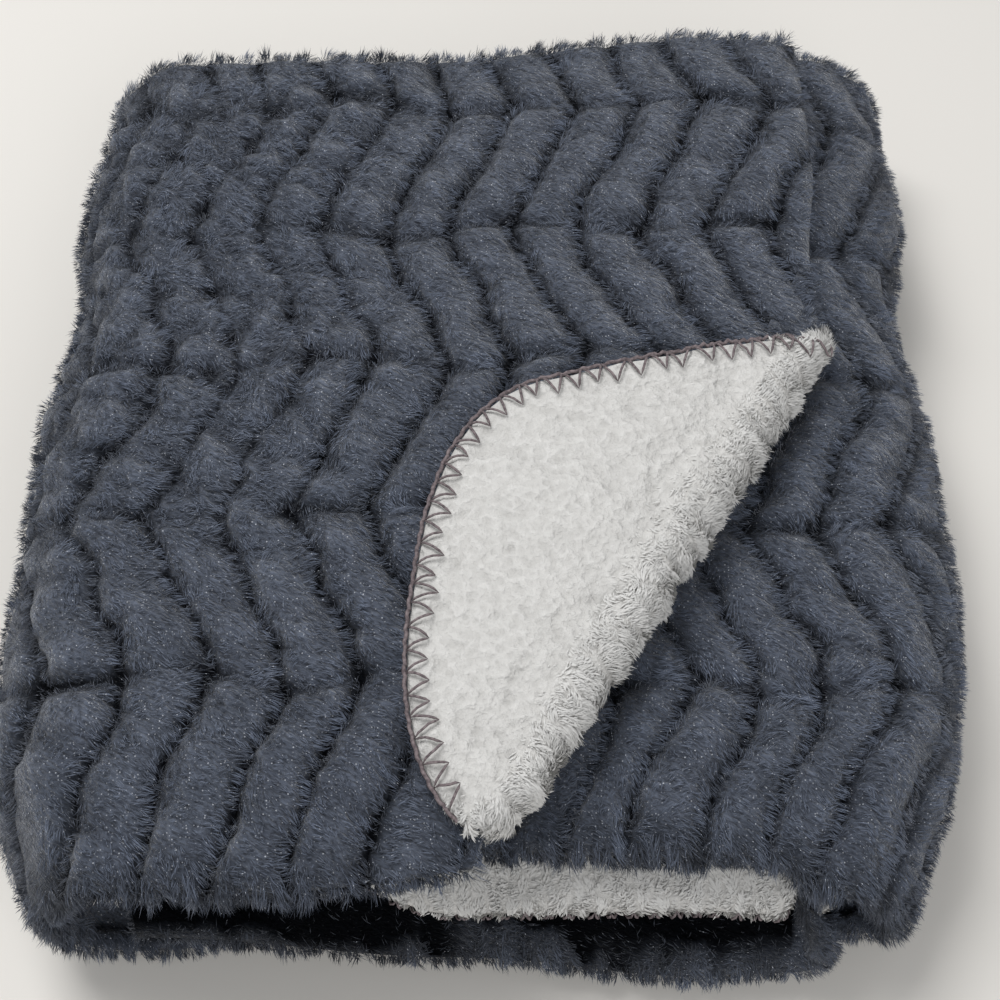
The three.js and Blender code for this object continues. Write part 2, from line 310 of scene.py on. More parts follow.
@dataclass
class Fold:
    """The seam of the whole fold, as x and z over the distance s along it from the open edge."""

    run_points: int = 400
    turn_points: int = 300
    shown_turn: tuple = (2.2, 5.0)
    hidden_turn: tuple = (3.5, 2.5)
    run_ease: float = 0.2
    turn_ease: float = 0.5
    sag_shape: float = 1.7

    def __post_init__(self) -> None:
        """Lays the lines and half ellipses end to end and reads the tables along them."""
        self.parts: list[Part] = []
        lines = []
        here = np.array([SIZES.open_end, LAYERS[0].seam])
        for layer, following in zip(LAYERS, (*LAYERS[1:], None)):
            there = np.array([layer.end, layer.seam])
            line = here + (there - here) * np.linspace(0, 1, self.run_points)[:, None]
            lines.append(self._lay(Part(layer.name, layer, layer, layer.lobes, layer.relief,
                                        self.run_ease, layer.steps), line))
            here = there
            if layer.bulge:
                steps = self.shown_turn if layer.turn_relief else self.hidden_turn
                turn = Part(f"{layer.name}_turn", layer, following, layer.turn_lobes,
                            layer.turn_relief, self.turn_ease, steps, layer.sag, layer.tuck)
                lines.append(self._lay(turn, self._turn(layer, following)))
                here = np.array([layer.end, following.seam])
        self.x, self.z = np.concatenate(lines).T
        steps = np.hypot(np.diff(self.x), np.diff(self.z))
        self.s = np.concatenate([[0.0], np.cumsum(steps)])
        keep = np.concatenate([[True], steps > TINY])
        self.x, self.z, self.s = self.x[keep], self.z[keep], self.s[keep]
        self.length = self.s[-1]
        self.tx, self.tz = np.gradient(self.x, self.s), np.gradient(self.z, self.s)
        self._read_tables()

    def _turn(self, layer: Layer, following: Layer) -> Array:
        """Half an ellipse from one layer's end to the next layer's start, bulging outwards.

        It is end + bulge * sin a in x, and a cosine from seam to seam in z, for a from 0 to pi.

        Args:
            layer: where it starts.
            following: where it ends.

        Returns:
            Its points.
        """
        way = math.copysign(1.0, layer.end)
        angle = np.linspace(0, math.pi, self.turn_points)
        rise = following.seam - layer.seam
        x = layer.end + way * layer.bulge * np.sin(angle)
        return np.stack([x, layer.seam + rise * (1 - np.cos(angle)) / 2], -1)

    def _lay(self, part: Part, line: Array) -> Array:
        """Adds a stretch to the fold and notes where it starts and ends along it.

        Args:
            part: the stretch.
            line: its points.

        Returns:
            The same points.
        """
        part.start = self.parts[-1].end if self.parts else 0.0
        part.end = part.start + np.hypot(*np.diff(line, axis=0).T).sum()
        self.parts.append(part)
        return line

    @staticmethod
    def _table(x: Array, values: tuple) -> Array:
        """Reads a layer's table, with a cubic between the stations.

        Args:
            x: where it is read.
            values: one for each station.

        Returns:
            The value at each x.
        """
        st, v = np.array(STATIONS, float), np.array(values, float)
        i = np.clip(np.searchsorted(st, x, side="left") - 1, 0, len(st) - 2)
        return mix(v[i], v[i + 1], smoothstep(x, st[i], st[i + 1]))

    def _read_tables(self) -> None:
        """Works out front, back, droop, tuck, relief and lobe phase all along the fold."""
        self.front, self.back, self.droop, self.tuck, self.relief, self.phase = (
            np.zeros(len(self.s)) for _ in range(6))
        lobes = 0.0
        for i, part in enumerate(self.parts):
            here = (self.s >= part.start - 1e-6) & (self.s <= part.end + 1e-6)
            share = (self.s[here] - part.start) / (part.end - part.start)
            x = self.x[here]
            weights = {"front": 1 - (1 - share) ** 3, "back": share, "droop": share}
            for name, weight in weights.items():
                a = self._table(x, getattr(part.layer, name))
                b = self._table(x, getattr(part.following, name))
                getattr(self, name)[here] = mix(a, b, weight)
            if part.sag:
                low, high = sorted((part.layer.seam, part.following.seam))
                risen = (self.z[here] - low) / (high - low)
                swell = np.sin(math.pi * risen)
                self.droop[here] += part.sag * self.sag_shape * risen * swell
                self.tuck[here] = -np.sign(x) * part.tuck * swell
            before = self.parts[i - 1].relief if i else part.relief
            after = self.parts[i + 1].relief if i + 1 < len(self.parts) else 0.0
            relief = np.full(share.shape, float(part.relief))
            if before < part.relief:
                relief *= smoothstep(share, 0, part.ease)
            if after < part.relief:
                relief *= smoothstep(1 - share, 0, part.ease)
            self.relief[here] = relief
            self.phase[here] = lobes + share * part.lobes
            lobes += part.lobes

    def read(self, name: str, s: Array) -> Array:
        """Reads x, z, tx, tz, front, back, droop, tuck, relief or phase at the distances s."""
        return np.interp(s, self.s, getattr(self, name))

    def part(self, name: str) -> Part:
        """The stretch of that name."""
        return next(p for p in self.parts if p.name == name)


@dataclass(frozen=True)
class Settling:
    """How the pack settles: a waist across it, a trough along it, and edges that draw in.

    Attributes:
        waist_in: share of the width that the waist takes.
        trough_down: share of the height that the trough takes.
        shoulder: where the height falls to front and back, and by what share.
        wave_x: length of the one along x over 2 pi, and its phase.
        tapers: share of the width taken at the ends and the y from which it is, at the front
            left, front right, back left and back right.
    """

    waist_at: float = 58.0
    trough_at: float = -20.0
    reach: float = 50.0
    waist_in: float = 0.04
    waist_down: float = 0.03
    trough_down: float = 0.025
    shoulder: tuple = (110, 0.05)
    wave: float = 0.014
    wave_x: tuple = (47, 1)
    wave_y: tuple = (53, 2)
    tapers: tuple = ((0.07, 105.0), (0.12, 60.0), (0.07, 40.0), (0.0, 40.0))

    def of(self, points: Array) -> Array:
        """Settles points.

        x shrinks by the waist and by a taper towards front and back, and z by the waist, the
        trough, the shoulders and the waves. The underside stays flat.

        Args:
            points: an array of points, x, y and z last.

        Returns:
            The points where the settled pack has them.
        """
        x, y, z = points[..., 0], points[..., 1], points[..., 2]
        waist, hollow = (np.clip(1 - ((at - middle) / self.reach) ** 2, 0, 1) ** 2
                         for at, middle in ((y, self.waist_at), (x, self.trough_at)))
        trough = self.trough_down * hollow
        start, down = self.shoulder
        ends = down * smoothstep(np.abs(y), start, SIZES.back) ** 2
        waves = (self.wave * np.sin(x / self.wave_x[0] + self.wave_x[1])
                 * np.sin(y / self.wave_y[0] + self.wave_y[1]))
        taper = np.array(self.tapers)[2 * (y >= 0) + (x >= 0)]
        taper = taper[..., 0] * smoothstep(np.abs(y), taper[..., 1], SIZES.back)
        moved_x = x * (1 - self.waist_in * waist - taper)
        moved_z = z * (1 - self.waist_down * waist - trough - ends + waves)
        return np.stack([moved_x, y, moved_z], -1)


SETTLING = Settling()
ROUND_ANGLE = 1.35  # how far the sine goes that rounds the corners of the herringbone
ROUND_SHARE = 0.35  # and its share in the line


def zigzag(y: Array) -> Array:
    """Goes from 1 to -1 and back with the bands of the herringbone, its corners a little round.

    A straight zigzag t is mixed with sin(angle * t) / sin(angle).

    Args:
        y: where it is read.

    Returns:
        Its value at each y.
    """
    turns = (y - SIZES.band_start) / (2 * SIZES.band)
    sharp = 4 * np.abs(turns - np.floor(turns) - 0.5) - 1
    curved = np.sin(np.clip(sharp, -1, 1) * ROUND_ANGLE) / math.sin(ROUND_ANGLE)
    return curved * ROUND_SHARE + sharp * (1 - ROUND_SHARE)


@dataclass
class Patch:
    """A grid of surface points with normals, from which pile and stitches take their places.

    Attributes:
        points: rows x columns x 3.
        across: a coordinate of the cloth along each row, in millimetres.
        along: one along each column.
    """

    points: Array
    across: Array
    along: Array
    flip: bool
    normals: Array = field(init=False)

    def __post_init__(self) -> None:
        """Takes the normals as the cross product of the steps along columns and rows."""
        steps = np.gradient(self.points, axis=1), np.gradient(self.points, axis=0)
        self.normals = unit(np.cross(*steps)) * (-1.0 if self.flip else 1.0)

    def steps(self, axis: int) -> Array:
        """Steps from point to point, turned so that the cloth's own coordinate grows.

        Args:
            axis: 0 for steps from row to row, 1 from column to column.

        Returns:
            A step for each point.
        """
        step = np.gradient(self.points, axis=axis)
        own = np.gradient(self.across if axis == 1 else self.along, axis=axis)
        return step * np.where(own < 0, -1.0, 1.0)[..., None]

    def areas(self) -> Array:
        """Area of each cell, as half the cross product of its diagonals.

        Returns:
            The areas.
        """
        p = self.points
        a, b = p[1:, 1:] - p[:-1, :-1], p[1:, :-1] - p[:-1, 1:]
        return np.linalg.norm(np.cross(a, b), axis=-1) / 2

    def centres(self, values: Array) -> Array:
        """Mean of a value over the corners of each cell."""
        return (values[1:, 1:] + values[:-1, :-1] + values[1:, :-1] + values[:-1, 1:]) / 4

    def sample(self, values: Array, row: Array, column: Array) -> Array:
        """Bilinear reading of a grid between its points.

        Args:
            values: one for each point of the grid, or a vector.
            row: rows with fractions.
            column: columns with fractions.

        Returns:
            The values there.
        """
        r = np.clip(row, 0, values.shape[0] - 1.001)
        c = np.clip(column, 0, values.shape[1] - 1.001)
        i, j = r.astype(int), c.astype(int)
        u, v = r - i, c - j
        if values.ndim == 3:
            u, v = u[..., None], v[..., None]
        low = mix(values[i, j], values[i, j + 1], v)
        high = mix(values[i + 1, j], values[i + 1, j + 1], v)
        return mix(low, high, u)


# Meshes


def write_mesh(name: str, points: Array, faces: Array) -> bpy.types.Object:
    """A smooth mesh object from arrays, with its place in its mesh.

    Args:
        name: the piece's name.
        points: vertices in millimetres.
        faces: vertex numbers, one row of 3 or 4 for each face, -1 for a corner left out.

    Returns:
        The new object.
    """
    mesh = bpy.data.meshes.new(name)
    corners = faces.ravel()
    corners = corners[corners >= 0]
    sides = (faces >= 0).sum(1)
    starts = np.concatenate([[0], np.cumsum(sides)[:-1]]).astype(np.int32)
    mesh.vertices.add(len(points))
    mesh.vertices.foreach_set("co", (points * MM).astype(np.float32).ravel())
    mesh.loops.add(len(corners))
    mesh.loops.foreach_set("vertex_index", corners.astype(np.int32))
    mesh.polygons.add(len(faces))
    mesh.polygons.foreach_set("loop_start", starts)
    mesh.polygons.foreach_set("use_smooth", np.full(len(faces), True))
    mesh.update(calc_edges=True)
    thing = bpy.data.objects.new(name, mesh)
    bpy.context.scene.collection.objects.link(thing)
    return thing


def closed_shell(outer: Array, inner: Array, flip: bool, skip: int = 4) -> tuple[Array, Array]:
    """Vertices and faces of a closed sheet between two grids of points.

    The inner side keeps only one row in a few. The two ends are closed by quads between the
    rows that both sides keep, with the outer side's other rows fanned to them.

    Args:
        outer: rows x columns x 3, the side that shows.
        inner: the same for the other side.
        flip: turns all faces round.
        skip: rows of the outer side for each row of the inner one.

    Returns:
        Vertices and an array of faces, -1 for the fourth corner of a triangle.
    """
    rows, columns = outer.shape[:2]
    kept = np.unique(np.append(np.arange(0, rows - 1, skip), rows - 1))
    at = np.arange(rows * columns).reshape(rows, columns)
    under = np.arange(len(kept) * columns).reshape(len(kept), columns) + rows * columns
    faces = [
        quads(at[:-1, :-1], at[:-1, 1:], at[1:, 1:], at[1:, :-1]),
        quads(under[:-1, :-1], under[1:, :-1], under[1:, 1:], under[:-1, 1:]),
        quads(at[0, :-1], under[0, :-1], under[0, 1:], at[0, 1:]),
        quads(at[-1, :-1], at[-1, 1:], under[-1, 1:], under[-1, :-1]),
    ]
    owner = np.searchsorted(kept, np.arange(rows - 1), side="right") - 1
    for column, way in ((0, 1), (columns - 1, -1)):
        fan = np.stack([at[:-1, column], at[1:, column], under[owner, column]], -1)
        step = np.stack([at[kept[1:], column], under[1:, column], under[:-1, column]], -1)
        ends = np.concatenate([fan, step])[:, ::way]
        faces.append(np.column_stack([ends, np.full(len(ends), -1)]))
    faces = np.concatenate(faces)
    if flip:
        turned = faces[:, ::-1].copy()
        three = faces[:, 3] < 0
        turned[three, :3], turned[three, 3] = faces[three, 2::-1], -1
        faces = turned
    return np.concatenate([outer.reshape(-1, 3), inner[kept].reshape(-1, 3)]), faces


def quads(*corners: Array) -> Array:
    """Faces from one grid of vertex numbers for each corner."""
    return np.stack([grid.ravel() for grid in corners], -1)


def tubes(paths: Array, ups: Array, radius: float, sides: int = 6) -> tuple[Array, Array]:
    """Round threads carried along paths, closed at both ends.

    Each ring is path + radius * (cos a * side + sin a * up), with the radius falling to nearly
    nothing at both ends.

    Args:
        paths: threads x points x 3.
        ups: the direction away from the cloth at each of those points.
        radius: of a thread.
        sides: of its section.

    Returns:
        Vertices and an array of quads.
    """
    end_size = 0.15
    count, length = paths.shape[:2]
    ahead = unit(np.gradient(paths, axis=1))
    side = unit(np.cross(ahead, ups))
    up = np.cross(side, ahead)
    angle = np.arange(sides) * 2 * math.pi / sides
    share = np.linspace(0, 1, length)
    size = radius * np.minimum(1, np.minimum(share, 1 - share) * (length - 1) + end_size)
    ring = np.cos(angle)[:, None] * side[:, :, None] + np.sin(angle)[:, None] * up[:, :, None]
    points = paths[:, :, None] + ring * size[None, :, None, None]
    at = np.arange(count * length * sides).reshape(count, length, sides)
    after = np.roll(at, -1, axis=2)
    faces = [quads(at[:, :-1], at[:, 1:], after[:, 1:], after[:, :-1])]
    for end, way in ((0, 1), (length - 1, -1)):
        for k in range(sides // 2 - 1):
            corners = [at[:, end, i] for i in (k, k + 1, sides - 2 - k, sides - 1 - k)]
            faces.append(quads(*corners[::way]))
    return points.reshape(-1, 3), np.concatenate(faces)


# Finishes

PAINTED_GLINT = (0.5, 0.52, 0.57)  # linear colour of the painted glints, where shiny fibres would catch the light
PAINTED_GLINT_CELLS = 950.0  # of the pattern that places them, per metre
PAINTED_GLINT_SIZE = 0.23  # as a share of a cell


class Shading:
    """A material while it is put together, with its Principled shader."""

    def __init__(self, name: str) -> None:
        """Starts a material.

        Args:
            name: its name.
        """
        self.material = bpy.data.materials.new(name)
        self.material.use_nodes = True
        self.tree = self.material.node_tree

    def feed(self, node: bpy.types.Node, values: dict) -> None:
        """Fills inputs of a node.

        Args:
            node: the node.
            values: for the name or number of an input, a socket to link it to or a value.
        """
        for name, value in values.items():
            if isinstance(value, Socket):
                self.tree.links.new(value, node.inputs[name])
            else:
                node.inputs[name].default_value = value

    def node(self, kind: str, values: dict, **settings: str) -> bpy.types.bpy_prop_collection:
        """Adds a shader node.

        Args:
            kind: its type, without the words that all of them begin with.
            values: its inputs, as feed takes them.
            **settings: its other settings.

        Returns:
            Its outputs.
        """
        made = self.tree.nodes.new(f"ShaderNode{kind}")
        for name, value in settings.items():
            setattr(made, name, value)
        self.feed(made, values)
        return made.outputs

    def place(self) -> Socket:
        """Object coordinates."""
        return self.node("TexCoord", {})["Object"]

    def ramp(self, source: Socket, first: tuple, last: tuple) -> Socket:
        """A colour ramp over a value.

        Args:
            source: the value.
            first: place and linear colour of the first stop.
            last: the same for the last one.

        Returns:
            The ramp's colour.
        """
        made = self.tree.nodes.new("ShaderNodeValToRGB")
        for element, (place, colour) in zip(made.color_ramp.elements, (first, last)):
            element.position, element.color = place, (*colour, 1.0)
        self.feed(made, {"Fac": source})
        return made.outputs["Color"]

    def times(self, a: Socket | float, b: Socket | float) -> Socket:
        """The product of two values."""
        return self.node("Math", {0: a, 1: b}, operation="MULTIPLY")[0]

    def tinted(self, a: Socket, b: Socket) -> Socket:
        """The product of two colours."""
        values = {"Factor": 1.0, "A": a, "B": b}
        return self.node("Mix", values, data_type="RGBA", blend_type="MULTIPLY")["Result"]

    def with_painted_glints(self, colour: Socket, share: float) -> Socket:
        """Adds painted glints to a colour: tiny bright dots where shiny fibres would catch the
        light.

        A glint is the middle of a cell of a Voronoi pattern in Object coordinates, in a share
        of the cells that is picked by the cell's own random colour, which sets its brightness
        too.

        Args:
            colour: the colour.
            share: of the cells that have one.

        Returns:
            The new colour.
        """
        if not share:
            return colour
        cells = self.node("TexVoronoi", {"Scale": PAINTED_GLINT_CELLS, "Vector": self.place()})
        own = self.node("SeparateColor", {"Color": cells["Color"]})
        near, picked = (
            self.node("Math", {0: value, 1: limit}, operation="LESS_THAN")[0]
            for value, limit in ((cells["Distance"], PAINTED_GLINT_SIZE), (own["Red"], share)))
        amount = self.times(self.times(near, picked), own["Green"])
        values = {"Factor": amount, "A": colour, "B": (*PAINTED_GLINT, 1.0)}
        return self.node("Mix", values, data_type="RGBA")["Result"]

    def finish(self, values: dict) -> bpy.types.Material:
        """Feeds the Principled shader and gives the material."""
        self.feed(self.tree.nodes["Principled BSDF"], values)
        return self.material


@dataclass(frozen=True)
class PileFinish:
    """Pile: its colour runs from root to tip, each strand has a shade of its own, painted shade
    included, and painted glints are added.

    Attributes:
        liveliest: the shade from which a strand is as bright as the lightest.
    """

    name: str
    root: tuple
    tip: tuple
    dull: float
    lively: float
    painted_glints: float
    roughness: float
    sheen: float
    sheen_tint: tuple
    sheen_roughness: float = 0.5
    specular: float = 0.3
    liveliest: float = 0.9

    def make(self) -> bpy.types.Material:
        """Builds the material from the pile's own UV map: U is the shade, V runs to the tip, with
        painted glints on top.

        Returns:
            The material.
        """
        look = Shading(self.name)
        uv = look.node("UVMap", {}, uv_map="OFBake")["UV"]
        read = look.node("SeparateXYZ", {0: uv})
        along = look.ramp(read["Y"], (0.0, self.root), (1.0, self.tip))
        shade = look.ramp(read["X"], (0.0, (self.dull,) * 3),
                          (self.liveliest, (self.lively,) * 3))
        return look.finish({
            "Base Color": look.with_painted_glints(look.tinted(along, shade), self.painted_glints),
            "Roughness": self.roughness,
            "Sheen Weight": self.sheen,
            "Sheen Roughness": self.sheen_roughness,
            "Sheen Tint": (*self.sheen_tint, 1.0),
            "Specular IOR Level": self.specular,
        })


@dataclass(frozen=True)
class GroundFinish:
    """The ground under the pile: matt, mottled by noise in Object coordinates.

    Attributes:
        wander: how much the streaks wander, for each time that they are longer than wide.
        limits: the noise's values for the dark and the light colour.
    """

    name: str
    dark: tuple
    light: tuple
    scale: float
    bump: float
    nap: float = 0.0
    stretch: float = 1.0
    painted_glints: float = 0.0
    sheen: float = 0.0
    specular: float = 0.2
    roughness: float = 0.95
    strength: float = 0.85
    detail: float = 5.0
    wander: float = 0.3
    limits: tuple = (0.3, 0.7)

    def make(self) -> bpy.types.Material:
        """Builds the material, its colour, sheen and gloss dimmed by the painted shade that the
        mesh carries, with painted glints on its colour.

        Returns:
            The material.
        """
        look = Shading(self.name)
        nap = look.node("Mapping", {
            "Vector": look.place(),
            "Rotation": (0.0, 0.0, math.radians(self.nap)),
            "Scale": (self.stretch, 1.0, 1.0),
        }, vector_type="TEXTURE")["Vector"]
        noise = look.node("TexNoise", {
            "Vector": nap,
            "Scale": self.scale,
            "Detail": self.detail,
            "Distortion": self.wander * (self.stretch - 1),
        })["Fac"]
        colour = look.ramp(noise, (self.limits[0], self.dark), (self.limits[1], self.light))
        shade = look.node("Attribute", {}, attribute_name="shade")
        bump = {"Strength": self.strength, "Distance": self.bump, "Height": noise}
        return look.finish({
            "Base Color": look.tinted(look.with_painted_glints(colour, self.painted_glints), shade["Color"]),
            "Sheen Weight": look.times(shade["Fac"], self.sheen),
            "Specular IOR Level": look.times(shade["Fac"], self.specular),
            "Normal": look.node("Bump", bump)["Normal"],
            "Roughness": self.roughness,
        })


@dataclass(frozen=True)
class ThreadFinish:
    """Overlock thread: a dull twisted yarn, its colour a little uneven."""

    name: str = "thread"
    dark: tuple = (0.095, 0.075, 0.08)
    light: tuple = (0.22, 0.18, 0.185)
    scale: float = 900.0
    limits: tuple = (0.35, 0.65)
    roughness: float = 0.9

    def make(self) -> bpy.types.Material:
        """Builds the material, with noise in Object coordinates for the fuzz of the yarn.

        Returns:
            The material.
        """
        look = Shading(self.name)
        fuzz = look.node("TexNoise", {"Scale": self.scale, "Vector": look.place()})["Fac"]
        colour = look.ramp(fuzz, (self.limits[0], self.dark), (self.limits[1], self.light))
        return look.finish({"Base Color": colour, "Roughness": self.roughness})


PLUSH_PILE = PileFinish("plush_pile", root=(0.018, 0.023, 0.034), tip=(0.097, 0.115, 0.157),
                        dull=0.28, lively=1.95, painted_glints=0.4, roughness=0.6, sheen=0.35,
                        sheen_tint=(0.72, 0.76, 0.85))
PLUSH_GROUND = GroundFinish("plush_ground", dark=(0.022, 0.027, 0.039),
                            light=(0.103, 0.121, 0.162), scale=1000.0, bump=0.0020,
                            nap=-29.0, stretch=3.0, painted_glints=0.5, sheen=0.4)
SHERPA_PILE = PileFinish("sherpa_pile", root=(0.62, 0.61, 0.59), tip=(0.66, 0.655, 0.64),
                         dull=0.97, lively=1.03, painted_glints=0.0, roughness=0.8, sheen=0.2,
                         sheen_tint=(1.0, 1.0, 1.0))
SHERPA_GROUND = GroundFinish("sherpa_ground", dark=(0.53, 0.52, 0.5), light=(0.67, 0.66, 0.64),
                             scale=330.0, bump=0.0030)
THREAD = ThreadFinish()


# The turned corner


def plan_point(x: float, y: float) -> Array:
    """A point in plan, as the value of a dataclass field."""
    return field(default_factory=lambda: np.array([x, y]))


def curve(first: Array, pull: Array, last: Array, t: Array) -> Array:
    """Quadratic curve (1 - t)^2 first + 2 t (1 - t) pull + t^2 last, by its share t."""
    return (1 - t) ** 2 * first + 2 * t * (1 - t) * pull + t**2 * last


@dataclass
class Corner:
    """The corner that is turned back, in plan and in height.

    Attributes:
        rim_belly: what the curve down to the front bends towards.
        overlap: how far the bend's lower rows reach back under the top layer.
        lead: how far in from the bend the top layer's edge lies.
        press: distance inside the fold line over which the plush regains its height.
        pinch: share of the bend's width left at its lower end.
        tongue_in: row from which they do.
        crowding: power that puts the rows closer together towards the rim.
    """

    start: Array = plan_point(127.0, 21.0)
    end: Array = plan_point(5.0, -170.0)
    rim_start: Array = plan_point(18.0, -3.0)
    rim_tip: Array = plan_point(-16.0, -13.0)
    rim_side: Array = plan_point(-22.0, -76.0)
    rim_belly: Array = plan_point(-31.0, -146.0)
    rim_points: int = 200
    rise: float = 5.7
    plush: float = 4.6
    lift: float = 14.4
    climb: float = 26.0
    overlap: float = 12.0
    lead: float = 2.0
    inset: float = 0.6
    press: Stretch = Stretch(30.0, 62.0)
    rim_first: float = 0.01
    rim_last: float = 0.985
    pinch: float = 0.2
    pinched_over: float = 18.0
    tongue: float = 8.0
    tongue_in: int = 5
    tongue_out: Stretch = Stretch(30, 56)
    crowding: float = 1.15

    def __post_init__(self) -> None:
        """Works out the fold's direction and how far the corner reaches past its line."""
        way = self.end - self.start
        self.length = float(np.hypot(*way))
        self.along = way / self.length
        self.out = np.array([-self.along[1], self.along[0]])
        self.reach = self.rise + SIZES.gap / 2 + SIZES.sherpa

    def inside(self, x: Array, y: Array) -> Array:
        """How far a place in plan lies inside the fold line."""
        return -((x - self.start[0]) * self.out[0] + (y - self.start[1]) * self.out[1])

    def top_reach(self, y: Array) -> Array:
        """How far right the top layer reaches, to its open edge or to the fold.

        Args:
            y: where it is read.

        Returns:
            The x of its edge.
        """
        share = (y - self.start[1]) / self.along[1]
        on_fold = self.start[0] + self.along[0] * share - (self.reach + self.lead) / self.out[0]
        return np.minimum(SIZES.top_edge, on_fold)

    def pressed(self, x: Array, y: Array) -> Array:
        """How much of the plush's height is left beside the fold, where it is pressed flat."""
        return mix(self.plush / SIZES.plush, 1.0, self.press.rise(self.inside(x, y)))

    def rim(self, first: Array, last: Array, share: Array) -> Array:
        """Points of the sewn rim: a line, then two quadratic curves.

        Args:
            first: its upper end in plan.
            last: its lower end.
            share: shares of its length.

        Returns:
            The points at those shares.
        """
        t = np.linspace(0, 1, self.rim_points)[:, None]
        line = mix(first, self.rim_start, t)
        bend = curve(self.rim_start, self.rim_tip, self.rim_side, t)
        side = curve(self.rim_side, self.rim_belly, last, t)
        path = np.concatenate([line, bend[1:], side[1:]])
        run = np.concatenate([[0], np.cumsum(np.hypot(*np.diff(path, axis=0).T))])
        at = share * run[-1]
        return np.stack([np.interp(at, run, path[:, k]) for k in (0, 1)], -1)

    def grid(self, columns: int, bend_rows: int, flat_rows: int, ends: tuple) -> tuple:
        """Seam points, normals and cloth coordinates of the turned corner.

        The bend is a half circle along the fold line, narrowed at its lower end. From its
        upper end each column runs straight to its own point of the rim, climbing as it leaves
        the fold, and the rows near the lower end run on a little along the fold.

        Args:
            columns: steps along the fold.
            bend_rows: steps round the bend.
            flat_rows: steps from the bend to the rim.
            ends: shares of the fold where the first and the last column lie.

        Returns:
            Seam points, normals, inset, distance to the rim, and distance to the fold's ends.
        """
        c = np.linspace(*ends, columns + 1)
        from_last = (c[-1] - c) * self.length
        turn = np.concatenate([[0.0, 0.0], np.linspace(0, math.pi, bend_rows + 1)])
        lead = np.concatenate([[-self.overlap, -self.lead], np.zeros(bend_rows + 1)])
        run = self.rise * turn + lead
        out = self.rise * np.sin(turn) + lead
        up = self.rise * (1 - np.cos(turn))
        first = (run - self.reach) * self.along[1] / self.out[1]
        last = self.length + (run - self.reach) * self.along[0] / self.out[0]
        along = mix(first[:, None], last[:, None], c[None, :])
        width = mix(self.pinch, 1.0, smoothstep(from_last, 0, self.pinched_over))
        out = lead[:, None] + (out - lead)[:, None] * width[None, :]
        plan = (self.start + along[..., None] * self.along
                + (out - self.reach)[..., None] * self.out)
        share = 1 - (1 - np.arange(1, flat_rows + 1) / flat_rows) ** self.crowding
        whole = (self.start + at * self.along - self.reach * self.out for at in
                 (first[-1], last[-1]))
        kept = (c - c[0]) / (c[-1] - c[0])
        rim = self.rim(*whole, mix(self.rim_first, self.rim_last, kept))
        flat = mix(plan[-1][None], rim[None], share[:, None, None])
        climbed = smoothstep(self.inside(flat[..., 0], flat[..., 1]) - self.reach, 0, self.climb)
        flat_up = mix(2 * self.rise, self.lift, climbed)
        plan = np.concatenate([plan, flat])
        height = np.concatenate([np.repeat(up[:, None], columns + 1, 1), flat_up])
        row = np.arange(len(plan))[:, None]
        tongue = smoothstep(row, self.tongue_in, bend_rows + 2) * self.tongue_out.fall(row)
        tongue = tongue * (1 - smoothstep(from_last, 0, self.pinched_over))
        plan = plan + self.tongue * tongue[..., None] * self.along
        angle = np.concatenate([turn, np.full(flat_rows, math.pi)])[:, None]
        angle = np.repeat(angle, columns + 1, 1)
        seam = np.concatenate([plan, (LAYERS[0].seam + height)[..., None]], -1)
        normal = np.stack([-self.out[0] * np.sin(angle), -self.out[1] * np.sin(angle),
                           np.cos(angle)], -1)
        inset = np.concatenate([[self.inset] * 2, np.zeros(bend_rows + 1 + flat_rows)])[:, None]
        to_rim = np.sqrt(((plan[..., None, :] - rim) ** 2).sum(-1).min(-1))
        to_rim[: len(turn)] += 2 * self.rise
        to_end = np.minimum(c - c[0], c[-1] - c) * self.length + 0 * to_rim
        return seam, normal, inset, to_rim, to_end


CORNER = Corner()


